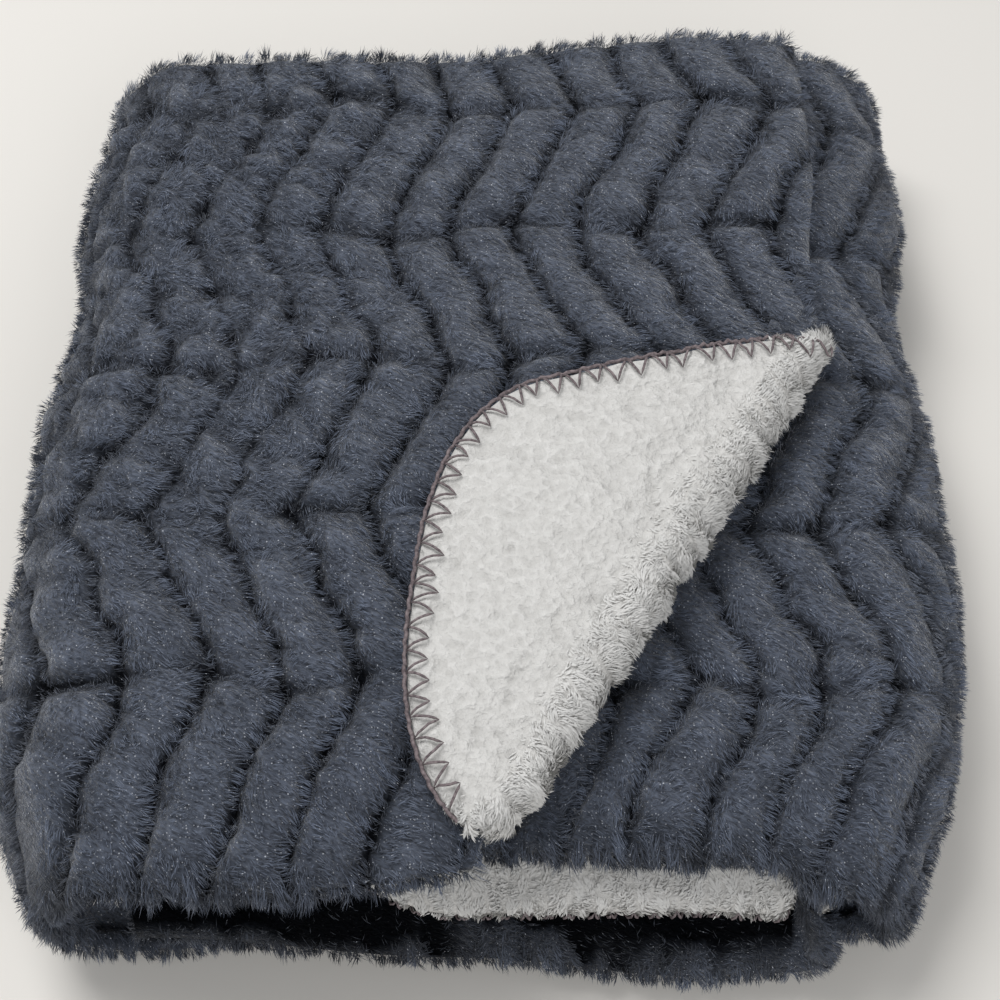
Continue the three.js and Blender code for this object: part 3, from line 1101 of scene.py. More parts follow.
@dataclass(frozen=True)
class Hem:
    """The sewn edge: the outer cloth rolls round it and the inner one stops short of it.

    Attributes:
        flattened: share of the way there over which its inner side does.
        turned_short: how far more it does in the turns, where the pack stands open.
        turned_from: distances before a turn over which that begins.
        round_left: share of its height at the very edge.
    """

    roll: float = 9.0
    thick: float = 2.0
    centre: float = 1.2
    under: float = 1.8
    settled: float = 30.0
    flattened: float = 0.8
    short: float = 5.0
    turned_short: float = 11.0
    turned_from: tuple = (40, 10)
    turned_to: float = 30
    round_width: float = 7.0
    round_left: float = 0.3
    gather: float = 8.7
    pull: float = 0.2

    def stops_short(self, s: Array, turns: list[Part]) -> Array:
        """How far the inner cloth stops short of the edge.

        Args:
            s: distance along the fold.
            turns: the turns that stand open.

        Returns:
            The distance at each s.
        """
        short = np.full(s.shape, self.short)
        for turn in turns:
            begin, whole = (turn.start - before for before in self.turned_from)
            begun = smoothstep(s, begin, whole)
            over = 1 - smoothstep(s, turn.end, turn.end + self.turned_to)
            short = short + self.turned_short * begun * over
        return short

    def section(self, edge: Array, height: Array, shown: Array, s: Array, short: Array) -> tuple:
        """Section of a cloth near its edge, for its outer and its inner side.

        The roll is part of a circle, radius * (1 - cos a) inwards and radius * sin a upwards,
        with a growing over the width of the roll. Beyond it the cloth settles back to lie flat.

        Args:
            edge: distance from the edge, measured in flat cloth.
            height: of the cloth.
            shown: 1 where the cloth rolls round the edge, 0 where it stops short.
            s: distance along the fold.
            short: how far the cloth stops short where it lies inside.

        Returns:
            Distance inwards and height for the outer side, and the same for the inner side.
        """
        share = np.clip(edge / self.roll, 0, 1)
        angle = mix(-self.under, math.pi / 2, share)
        gathers = 1 - self.pull * (1 - np.abs(np.sin(math.pi * s / self.gather))) ** 2
        radius = (height - self.centre) * mix(gathers, 1.0, share**2)
        beyond = np.clip((edge - self.roll) / (self.settled - self.roll), 0, 1)
        flat = mix(radius, self.settled, beyond)
        flat = np.where(edge > self.settled, edge, flat)
        in_roll = edge < self.roll
        rolled_in = np.where(in_roll, radius * (1 - np.cos(angle)), flat)
        rolled_up = np.where(in_roll, self.centre + radius * np.sin(angle), height)
        core = radius - self.thick
        inner_in = np.where(in_roll, radius - core * np.cos(angle), flat)
        inner_up = np.where(in_roll, self.centre + core * np.sin(angle),
                            mix(height - self.thick, 0.0, smoothstep(beyond, 0, self.flattened)))
        near = 1 - smoothstep(edge, 0, self.settled)
        plain_in = edge + short * near
        plain_up = height * rounded(edge, self.round_width, self.round_left)
        gap = SIZES.gap / 2
        return (mix(plain_in, rolled_in, shown), gap + mix(plain_up, rolled_up, shown),
                mix(plain_in, inner_in, shown), gap + mix(0.0, inner_up, shown))


HEM = Hem()


# The folded cloth


@dataclass(frozen=True)
class Lobes:
    """The plush's ground: puffed lobes with narrow grooves, lumpy where the pile is matted.

    Attributes:
        meet: place in a band, from 0 in its middle to 1, where two bands begin to meet.
        meet_share: least share of that at places where they hardly meet.
        matted_left: distances left of the middle over which matting sets in.
        matted: how matted the pile is there, over y, in the middle and at the back.
        matted_puff: what a lobe's puff is there, and how much of the lumps is added to it.
    """

    height: float = 6.6
    varied: float = 0.4
    crown: float = 2.4
    side: float = 0.66
    floor: float = 0.9
    plain: float = 5.6
    least: float = 0.6
    meet: float = 0.84
    meet_depth: float = 0.75
    meet_share: float = 0.6
    first_meet: Stretch = Stretch(-160, -145)
    matted_left: Stretch = Stretch(10, 100)
    matted: tuple = (Stretch(-110, -20, 0.38), Stretch(80, 140, 0.27))
    matted_edge: Stretch = Stretch(140, 165, 0.8)
    matted_low: float = 0.75
    matted_puff: tuple = (0.55, 0.8)
    lump: float = 1.35
    matted_lump: float = 1.6
    bands_waver: Ripple = Ripple(70, 11, amount=5.5)
    lobes_waver: tuple = (Ripple(38, 12, amount=0.11), Ripple(9, 17, 9, 0.06))
    meeting: Ripple = Ripple(36, 18, amount=0.4)
    lumps: tuple = (Ripple(9, 13, 11, 0.4), Ripple(17, 19, 9, 0.6))
    swell: Ripple = Ripple(30, 14, amount=0.6)

    def matting(self, x: Array, y: Array) -> Array:
        """How matted the top of the pack is, more to the left and to the back."""
        middle, back = (stretch.rise(y) for stretch in self.matted)
        return self.matted_left.rise(-x) * (middle + back) * self.matted_edge.fall(y)

    def puffs(self, s: Array, y: Array, phase: Array, zig: Array) -> Array:
        """How puffed the cloth is, from 0 in a groove to 1 on the ridge of a lobe.

        The profile is (1 - |2f - 1|^crown)^side over the phase f of the lobe, lowered where
        two bands meet.

        Args:
            s: distance along the fold.
            y: place from front to back.
            phase: number of the lobe, with its phase as the fraction.
            zig: place in the band's zigzag.

        Returns:
            The puff at each place.
        """
        part = phase - np.floor(phase)
        puff = (1 - np.abs(2 * part - 1) ** self.crown) ** self.side
        meet = smoothstep(np.abs(zig), self.meet, 1.0)
        meet = np.clip(meet * (self.meet_share + self.meeting.at(s, y)), 0, 1)
        return puff * (1 - self.meet_depth * (meet * self.first_meet.rise(y)))


@dataclass(frozen=True)
class Hollow:
    """How dark the painted shade is on the front of the fourth layer, deep under the layers above
    it.

    Attributes:
        right: x over which its right half, where the front hangs open, takes over.
        begins: distance in from the front where the hollow begins, left and right.
        whole: where it is as dark as it gets, left and right.
        back: distance in from the back over which the darkening begins.
    """

    right: Stretch = Stretch(-60, -10)
    begins: tuple = (3, 5)
    whole: tuple = (9, 13)
    hem_left: float = 0.75
    dark: float = 0.97
    back: Stretch = Stretch(8, 25)

    def lit(self, x: Array, before: Array, behind: Array) -> Array:
        """How much light reaches the layer, as painted shade on its colour.

        Args:
            x: place from left to right.
            before: distance in from the front edge.
            behind: distance in from the back edge.

        Returns:
            1 for full light, down to nearly 0.
        """
        right = self.right.rise(x)
        hollow = smoothstep(before, mix(*self.begins, right), mix(*self.whole, right))
        lit = mix(self.hem_left, 1.0, right) * (1.0 - self.dark * hollow)
        return mix(1.0, lit, self.back.rise(behind))


LOBES = Lobes()
HOLLOW = Hollow()


@dataclass
class FoldedCloth:
    """One cloth of the throw: its layers round the fold, and its side of the turned corner.

    Attributes:
        row_steps: distance between the other rows, for the plush and the sherpa.
        open_round: width of the rounding at an open edge and the height's share left there.
        turning_out: distances along the fold over which the sherpa turns out at the hems.
        grooves: how puffed the plush is in a groove and on a lobe, for their painted shade.
        patchy: painted shade of a level place, and how much the lumps change it, darker where they
            are low.
        corner_rows: the corner's columns, rows round its bend and rows to its rim.
        corner_ends: shares of the fold where its grid ends, for the plush and the sherpa.
        tufts: share of the height, size and seed of its two sorts of curls.
        layer_curls: least height, size and seed of the curls on the layers.
    """

    fold: Fold
    cloth: Cloth
    hem_rows: int = 8
    row_steps: tuple = (2.6, 3.4)
    row_gaps: tuple = (2.0, 1.5)
    set_back: float = 8.0
    set_back_from: tuple = (-16, -4)
    raw_to: float = 14
    open_round: tuple = (7.0, 0.4)
    turning_out: tuple = (-6, 10)
    turning_in: tuple = (-10, 2)
    grooves: Stretch = Stretch(0.2, 0.85)
    groove_shade: float = 0.05
    patchy: tuple = (0.95, 0.4)
    hem_shade: Stretch = Stretch(4, 16)
    hem_dark: float = 0.3
    shades: tuple = (0.03, 1.2)
    corner_rows: tuple = (88, 12, 46)
    corner_ends: tuple = ((0.0, 0.95), (0.015, 0.94))
    corner_plush: float = 0.75
    corner_sherpa: float = 2.1
    tufts: tuple = ((1.1, 8.5, 22), (0.6, 4.8, 25))
    tuft_shade: Stretch = Stretch(0.4, 3.0)
    tuft_dark: float = 0.8
    rim_puff: Stretch = Stretch(4, 12)
    rim_puff_height: float = 0.8
    rim_round: tuple = (5.0, 0.3)
    end_round: tuple = (5.0, 0.25)
    swell: Ripple = Ripple(48, 23, amount=0.7)
    swell_in: Stretch = Stretch(2, 30)
    swell_up: float = 8
    layer_curls: tuple = (2.9, 7.0, 21)

    def __post_init__(self) -> None:
        """Makes the grids of both shells."""
        self.side = self.cloth.value
        self.layers = self._layers()
        self.corner = self._corner()

    def _columns(self) -> Array:
        """Distances along the fold of the grid's columns, finer where the cloth shows.

        Returns:
            The distances.
        """
        columns = []
        for part in self.fold.parts:
            start = SIZES.open_end - SIZES.top_edge if part.name == "top" else part.start
            count = max(2, round((part.end - start) / self.cloth.pick(part.steps)))
            columns.append(np.linspace(start, part.end, count, endpoint=False))
        return np.concatenate([*columns, [self.fold.length]])

    def _rows(self) -> Array:
        """Rows from front to back, closer together round the hems.

        Returns:
            Their distances from the middle.
        """
        edge = np.linspace(0, HEM.roll, self.hem_rows)
        after, before = self.row_gaps
        middle = np.arange(SIZES.front + HEM.roll + after, SIZES.back - HEM.roll - before,
                           self.cloth.pick(self.row_steps))
        return np.concatenate([SIZES.front + edge, middle, SIZES.back - edge[::-1]])

    def _lay_out(self) -> tuple[Array, Array, Array]:
        """Where the grid's points lie along the fold and from front to back.

        The rows follow the curve of the front and back edges, and the top layer's columns are
        spread evenly from its own edge, which follows the fold of the turned corner.

        Returns:
            Distance along the fold, y, and the distance where the top layer begins.
        """
        fold, top = self.fold, self.fold.part("top")
        rows, columns = self._rows(), self._columns()
        row = np.repeat(rows[:, None], len(columns), 1)
        s = np.repeat(columns[None, :], len(rows), 0)
        self.front, self.back = fold.read("front", s), fold.read("back", s)
        near_front = 1 - smoothstep(row, SIZES.front, SIZES.front + SIZES.edge_spread)
        near_back = smoothstep(row, SIZES.back - SIZES.edge_spread, SIZES.back)
        y = (row + (self.front - SIZES.front) * near_front
             + (self.back - SIZES.back) * near_back)
        self.before, self.behind = y - self.front, self.back - y
        self.edge = np.minimum(self.before, self.behind)
        self.on_top = s < top.end
        first = SIZES.open_end - SIZES.top_edge
        opened = SIZES.open_end - CORNER.top_reach(y)
        if self.cloth is Cloth.SHERPA:
            limits = (CORNER.start[1] + at for at in self.set_back_from)
            opened = opened + self.set_back * smoothstep(y, *limits)
        spread = opened + (s - first) * (top.end - opened) / (top.end - first)
        return np.where(self.on_top, spread, s), y, opened

    def _layers(self) -> Patch:
        """The layers: seam points moved out along the fold's normal by the cloth's height.

        Returns:
            The side that shows, over the distance along the fold and y.
        """
        s, y, opened = self._lay_out()
        self.plan_x = x = self.fold.read("x", s)
        if self.cloth is Cloth.PLUSH:
            height = self._plush_height(s, y, x)
            self.shade = self._plush_shade(s, x)
        else:
            low, size, seed = self.layer_curls
            height = low + curls(s, y, size, seed)
            self.shade = np.ones(s.shape)
        raw = (y > CORNER.start[1]) | (y < CORNER.end[1] + self.raw_to)
        open_side = np.where(self.on_top & raw, s - opened, np.inf)
        outer, self.inner = self._hemmed(s, height * rounded(open_side, *self.open_round))
        return Patch(outer, s, y, flip=self.side > 0)

    def _hemmed(self, s: Array, height: Array) -> list[Array]:
        """Both sides of the layers, rolled at the hems, hanging and tucked in at the front.

        Args:
            s: distance along the fold.
            height: of the cloth.

        Returns:
            Points of the side that shows and of the side at the seam.
        """
        fold = self.fold
        x, z, droop, tuck = (fold.read(name, s) for name in ("x", "z", "droop", "tuck"))
        normal = np.stack([fold.read("tz", s), 0 * s, -fold.read("tx", s)], -1)
        normal = unit(normal) * self.side
        nearer = self.before < self.behind
        way, rim = np.where(nearer, 1.0, -1.0), np.where(nearer, self.front, self.back)
        turns = [fold.part(name) for name in ("top_turn", "bottom_turn", "third_turn")]
        outer_in, outer_up, inner_in, inner_up = HEM.section(
            self.edge, height, self._shown(s), s, HEM.stops_short(s, turns))
        sides = []
        for inward, up in ((outer_in, outer_up), (inner_in, inner_up)):
            place = rim + way * inward
            near = (1 - np.clip((place - self.front) / SIZES.droop_depth, 0, 1)) ** 2
            seam = np.stack([x + tuck * near, place, z - droop * near], -1)
            sides.append(SETTLING.of(seam + normal * up[..., None]))
        return sides

    def _shown(self, s: Array) -> Array:
        """Which cloth is the outer one at the hems.

        Args:
            s: distance along the fold.

        Returns:
            1 where this cloth is, 0 where it lies inside.
        """
        first, last = self.fold.part("inner_turn").start, self.fold.part("third").end
        begun = smoothstep(s, *(first + at for at in self.turning_out))
        sherpa = begun * (1 - smoothstep(s, *(last + at for at in self.turning_in)))
        return 1 - sherpa if self.cloth is Cloth.PLUSH else sherpa

    def _plush_height(self, s: Array, y: Array, x: Array) -> Array:
        """Ground of the pile, where each lobe is a little different from the next.

        Args:
            s: distance along the fold.
            y: place from front to back.
            x: place from left to right.

        Returns:
            Its height above the seam.
        """
        relief = self.fold.read("relief", s)
        zig = zigzag(y + LOBES.bands_waver.at(s, y))
        wobble = sum(ripple.at(s, y) for ripple in LOBES.lobes_waver)
        start = s - relief * SIZES.slant * zig / 2
        phase = self.fold.read("phase", start) + wobble * relief
        band = np.floor((y - SIZES.band_start) / SIZES.band)
        own = Scatter(1.0, 5).drawn(np.floor(phase), band, 4)
        self.lumps = sum(ripple.at(s, y) for ripple in LOBES.lumps)
        low = s > self.fold.part("third_turn").end
        self.matted = np.where(low, LOBES.matted_low, LOBES.matting(x, y))
        level, lumpy = LOBES.matted_puff
        puff = mix(LOBES.puffs(s, y, phase, zig), np.clip(level + lumpy * self.lumps, 0, 1),
                   self.matted)
        lobe = LOBES.height * puff * (1 + LOBES.varied * (own - 0.5))
        lumps = (LOBES.lump + LOBES.matted_lump * self.matted) * self.lumps
        lumps = lumps + LOBES.swell.at(s, y)
        self.puff = mix(1.0, puff, relief)
        height = mix(LOBES.plain, LOBES.floor + lobe + lumps * puff, relief)
        pressed = np.where(self.on_top, CORNER.pressed(x, y), 1.0)
        return np.maximum(height, LOBES.least) * pressed

    def _plush_shade(self, s: Array, x: Array) -> Array:
        """Painted shade of the plush's ground: dark in grooves, in the hollow, at the front hems
        and where the lumps are low.

        Args:
            s: distance along the fold.
            x: place from left to right.

        Returns:
            The shade that its colour is multiplied by.
        """
        deep = (s > self.fold.part("third_turn").end) & (s < self.fold.part("fifth").start)
        # painted shade deep in the hollow under the layers above
        self.painted_hollow_light = np.where(deep, HOLLOW.lit(x, self.before, self.behind), 1.0)
        level, lumpy = self.patchy
        # painted shade: darker where the lumps are low, towards the front hems and in the grooves
        patchy = level + lumpy * self.lumps - self.hem_dark * self.hem_shade.fall(self.before)
        puffed = mix(self.groove_shade, 1.0, self.grooves.rise(self.puff))
        return np.clip(puffed * self.painted_hollow_light * patchy, *self.shades)

    def _corner(self) -> Patch:
        """The turned corner: its seam moved out by the cloth's height on that side.

        The plush has one height there, and the sherpa tufts of curls that puff up at the rim.

        Returns:
            The side that shows, over x and y.
        """
        ends = self.cloth.pick(self.corner_ends)
        seam, normal, inset, to_rim, to_end = CORNER.grid(*self.corner_rows, ends)
        self.to_rim, self.to_end = to_rim, to_end
        normal = normal * self.side
        x, y = seam[..., 0], seam[..., 1]
        if self.cloth is Cloth.PLUSH:
            height = np.full(x.shape, CORNER.plush * self.corner_plush)
            self.corner_shade = np.ones(x.shape)
        else:
            tufts = sum(share * curls(x, y, size, seed) for share, size, seed in self.tufts)
            # painted shade in the hollows between the curls
            self.corner_shade = mix(self.tuft_dark, 1.0, self.tuft_shade.rise(tufts))
            height = self.corner_sherpa + tufts + self.rim_puff_height * self.rim_puff.fall(to_rim)
        height = height * rounded(to_rim, *self.rim_round) * rounded(to_end, *self.end_round)
        swell = self.swell.at(x, y) * self.swell_in.rise(to_rim)
        swell = swell * (seam[..., 2] > LAYERS[0].seam + self.swell_up)
        seam = seam + np.array([0, 0, 1.0]) * swell[..., None]
        self.corner_inner = SETTLING.of(seam + normal * (SIZES.gap / 2 + inset[..., None]))
        outer = SETTLING.of(seam + normal * (SIZES.gap / 2 + height - inset)[..., None])
        return Patch(outer, x, y, flip=self.side < 0)

    def build(self, name: str, finish: bpy.types.Material) -> bpy.types.Object:
        """One closed shell round the fold and one for the corner, in one mesh.

        Args:
            name: the piece's name.
            finish: its ground finish.

        Returns:
            The object.
        """
        points, faces = closed_shell(self.layers.points, self.inner, self.side < 0)
        more, more_faces = closed_shell(self.corner.points, self.corner_inner, self.side > 0)
        more_faces = np.where(more_faces < 0, -1, more_faces + len(points))
        thing = write_mesh(name, np.concatenate([points, more]),
                           np.concatenate([faces, more_faces]))
        # the painted shade is written as the colour attribute shade, which the ground finish
        # multiplies its colour, sheen and gloss by
        shade = np.ones(len(thing.data.vertices))
        shade[: self.shade.size] = self.shade.ravel()
        shade[len(points) : len(points) + self.corner_shade.size] = self.corner_shade.ravel()
        colour = thing.data.color_attributes.new("shade", "FLOAT_COLOR", "POINT")
        rows = np.column_stack([shade, shade, shade, np.ones(shade.size)])
        colour.data.foreach_set("color", rows.astype(np.float32).ravel())
        thing.data.materials.append(finish)
        return thing


def curls(x: Array, y: Array, size: float, seed: int) -> Array:
    """Round curls of sherpa: a dome on each scattered point, with narrow hollows between.

    The dome is sqrt(1 - (d / reach)^2) over the distance d, on a slower swell.

    Args:
        x: first coordinate.
        y: second coordinate.
        size: spacing of the curls.
        seed: picks their places.

    Returns:
        Their height.
    """
    reach, tall, least, varied = 0.95, 2.0, 0.7, 0.6
    _, _, d, own = Scatter(size, seed).nearest(x, y)
    dome = np.sqrt(np.clip(1 - (d / (reach * size)) ** 2, 0, 1))
    return tall * dome * (least + varied * own) + Ripple(22, seed + 1, amount=0.5).at(x, y)


# Pile


@dataclass(frozen=True)
class Pile:
    """How the strands of a pile stand, lean and gather into locks.

    Attributes:
        swirl: how far the lean turns to either side from place to place, as an angle.
        soft: how far its light follows the cloth under it and not each strand.
        out: least share of the normal in its direction.
        facing: how much of a strand's own face is in its light.
        tip_light: how much of its direction is in the light of its tip.
        shade_along: V of the root, the middle and the tip.
    """

    length: float
    width: float
    stand: float
    lean: tuple
    swirl: float
    fall: float
    stray: float
    lock: float
    gather: float
    curl: float
    soft: float
    swirl_size: float = 28
    down: float = 0.3
    out: float = 0.2
    lengths: tuple = (0.7, 1.15)
    lock_length: tuple = (0.88, 0.24)
    arch: float = 0.1
    twist: float = 0.3
    widths: tuple = (0.75, 1.3)
    facing: float = 0.6
    tip_light: float = 0.2
    shade: float = 0.46
    lock_shade: float = 0.28
    patch_shade: float = 0.2
    own_shade: float = 0.12
    shades: tuple = (0.04, 0.88)
    edge_shade: float = 0.012
    shade_along: tuple = (0.02, 0.5, 0.98)


PLUSH = Pile(length=4.0, width=0.26, stand=0.38, lean=(0.6, -0.34), swirl=1.1, fall=0.3,
             stray=0.11, lock=4.5, gather=0.42, curl=0.22, soft=1.4)
FRINGE = Pile(length=4.2, width=0.32, stand=0.5, lean=(0.2, -0.1), swirl=0.9, fall=0.3,
              stray=0.2, lock=6.0, gather=0.5, curl=0.35, soft=1.0)
SHERPA = Pile(length=2.2, width=0.55, stand=0.2, lean=(0.25, -0.2), swirl=3.0, fall=0.15,
              stray=0.14, lock=4.5, gather=0.45, curl=0.5, soft=3.5)
FLOOR_GAP = 0.15  # between the floor and the lowest strands


@dataclass
class Bed:
    """What a pile grows on: a patch, and what differs from place to place on it.

    Attributes:
        weight: how thickly each cell is covered.
        length: share of the full length.
        forward: how much the strands turn to the front, or to the back if negative.
        tone: painted shade and light, added to the shade of the strands, from -0.5 to 0.5.
        tangle: how much more the strands stray.
    """

    patch: Patch
    weight: Array
    length: Value = 1.0
    forward: Value = 0.0
    tone: Value = 0.0
    tangle: Value = 1.0

    def read(self, name: str, row: Array, column: Array) -> Array:
        """Reads one of the grids, or the one number that stands for it.

        Args:
            name: which of them.
            row: rows with fractions.
            column: columns with fractions.

        Returns:
            Its values there.
        """
        values = getattr(self, name)
        if isinstance(values, float):
            return np.full(row.shape, values)
        return self.patch.sample(values, row, column)


@dataclass
class Strands:
    """Strands as they are written: each is a kite of root, left, right and tip."""

    points: Array
    faces: Array
    u: Array
    v: Array
    light: Array


def grow(bed: Bed, count: int, pile: Pile, seed: int) -> Strands:
    """Strands over a patch, each a bent kite of root, two middle points and tip.

    Roots are drawn in proportion to cell area times weight. A strand's direction is
    stand * normal + lean, turned by the swirl, + fall * the normal's level part + its lock's
    curl + a stray part. Its tip is drawn to the lock's middle and its middle is lifted, so that
    it arches.

    Args:
        bed: where it grows.
        count: number of strands.
        pile: how they stand.
        seed: of the random draws.

    Returns:
        The strands.
    """
    rng = np.random.default_rng(seed)
    patch = bed.patch
    total = np.cumsum((patch.areas() * bed.weight).ravel())
    cell = np.searchsorted(total, rng.uniform(0, total[-1], count))
    row, column = np.unravel_index(np.minimum(cell, len(total) - 1), bed.weight.shape)
    row, column = row + rng.uniform(0, 1, count), column + rng.uniform(0, 1, count)
    root, normal, across, along, s_way, y_way = (
        patch.sample(values, row, column) for values in
        (patch.points, patch.normals, patch.across, patch.along, patch.steps(1), patch.steps(0)))
    normal, s_way, y_way = unit(normal), unit(s_way), unit(y_way)
    dx, dy, _, own = Scatter(pile.lock, seed + 1).nearest(across, along)
    turn = own * 6 * math.pi
    curl = (np.cos(turn)[:, None] * s_way + np.sin(turn)[:, None] * y_way) * pile.curl
    swirl = pile.swirl * Ripple(pile.swirl_size, seed + 2).at(across, along)
    (lean_x, lean_y), cos, sin = pile.lean, np.cos(swirl), np.sin(swirl)
    world = np.stack([lean_x * cos - lean_y * sin, lean_x * sin + lean_y * cos, 0 * swirl], -1)
    forward = np.array([0.0, -1.0, -pile.down])
    world = world + bed.read("forward", row, column)[:, None] * forward
    lean = world - (normal * world).sum(-1, keepdims=True) * normal
    tangle = bed.read("tangle", row, column)[:, None]
    stray = rng.normal(0, pile.stray, (count, 3)) * tangle
    level = normal * np.array([1.0, 1.0, 0.0])
    way = unit(pile.stand * normal + lean + pile.fall * level + curl * tangle + stray)
    out = (way * normal).sum(-1, keepdims=True)
    way = unit(way + normal * np.maximum(pile.out - out, 0))
    shortest, longer = pile.lock_length
    size = pile.length * rng.uniform(*pile.lengths, count) * (shortest + longer * own)
    size = (size * bed.read("length", row, column))[:, None]
    tip = root + way * size + (s_way * dx[:, None] + y_way * dy[:, None]) * pile.gather
    middle = mix(root, tip, 0.5) + normal * size * pile.arch
    run = unit(tip - root)
    side = unit(np.cross(run, normal) + rng.normal(0, pile.twist, (count, 3)))
    half = side * (pile.width / 2) * rng.uniform(*pile.widths, (count, 1))
    left, right = middle - half, middle + half
    face = unit(np.cross(right - root, left - root))
    turned = ((face * normal).sum(-1) < 0)[:, None]
    face = np.where(turned, -face, face)
    order = np.where(turned, [[0, 1, 2, 1, 3, 2]], [[0, 2, 1, 1, 2, 3]])
    faces = (4 * np.arange(count)[:, None] + order).reshape(-1, 3)
    soft = unit(normal * pile.soft + face * pile.facing)
    tilt = unit(right - left) * pile.facing / pile.soft
    light = np.stack([soft, unit(soft - tilt), unit(soft + tilt),
                      unit(soft + run * pile.tip_light)], 1)
    patchy = Ripple(15, seed + 3, 9, pile.patch_shade).at(across, along)
    # a strand's shade: its lock's share, a slow patch, a random share of its own, and the bed's
    # painted shade
    shade = (pile.shade + pile.lock_shade * (own - 0.5) + patchy
             + rng.normal(0, pile.own_shade, count) + bed.read("tone", row, column))
    shade = np.clip(shade, *pile.shades)
    u = shade[:, None] + np.array([0.0, -pile.edge_shade, pile.edge_shade, 0.0])
    at_root, at_middle, at_tip = pile.shade_along
    v = np.repeat(np.array([[at_root, at_middle, at_middle, at_tip]]), count, 0)
    points = np.stack([root, left, right, tip], 1)
    return Strands(points.reshape(-1, 3), faces, u.ravel(), v.ravel(), light.reshape(-1, 3))


def write_pile(name: str, made: Strands, finish: bpy.types.Material) -> bpy.types.Object:
    """Writes strands into one piece, with its UV map and soft shading normals.

    Args:
        name: the piece's name.
        made: the strands.
        finish: the pile's material.

    Returns:
        The object.
    """
    made.points[:, 2] = np.maximum(made.points[:, 2], FLOOR_GAP)
    thing = write_mesh(name, made.points, made.faces)
    uv = thing.data.uv_layers.new(name="OFBake").data
    corner = np.zeros(len(thing.data.loops), np.int32)
    thing.data.loops.foreach_get("vertex_index", corner)
    rows = np.stack([made.u[corner], made.v[corner]], -1)
    uv.foreach_set("uv", rows.astype(np.float32).ravel())
    thing.data.normals_split_custom_set_from_vertices(made.light)
    thing.data.materials.append(finish)
    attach(thing, BODY)
    LOG.info("%s: %d strands, %d triangles", name, len(made.points) // 4, len(made.faces))
    return thing


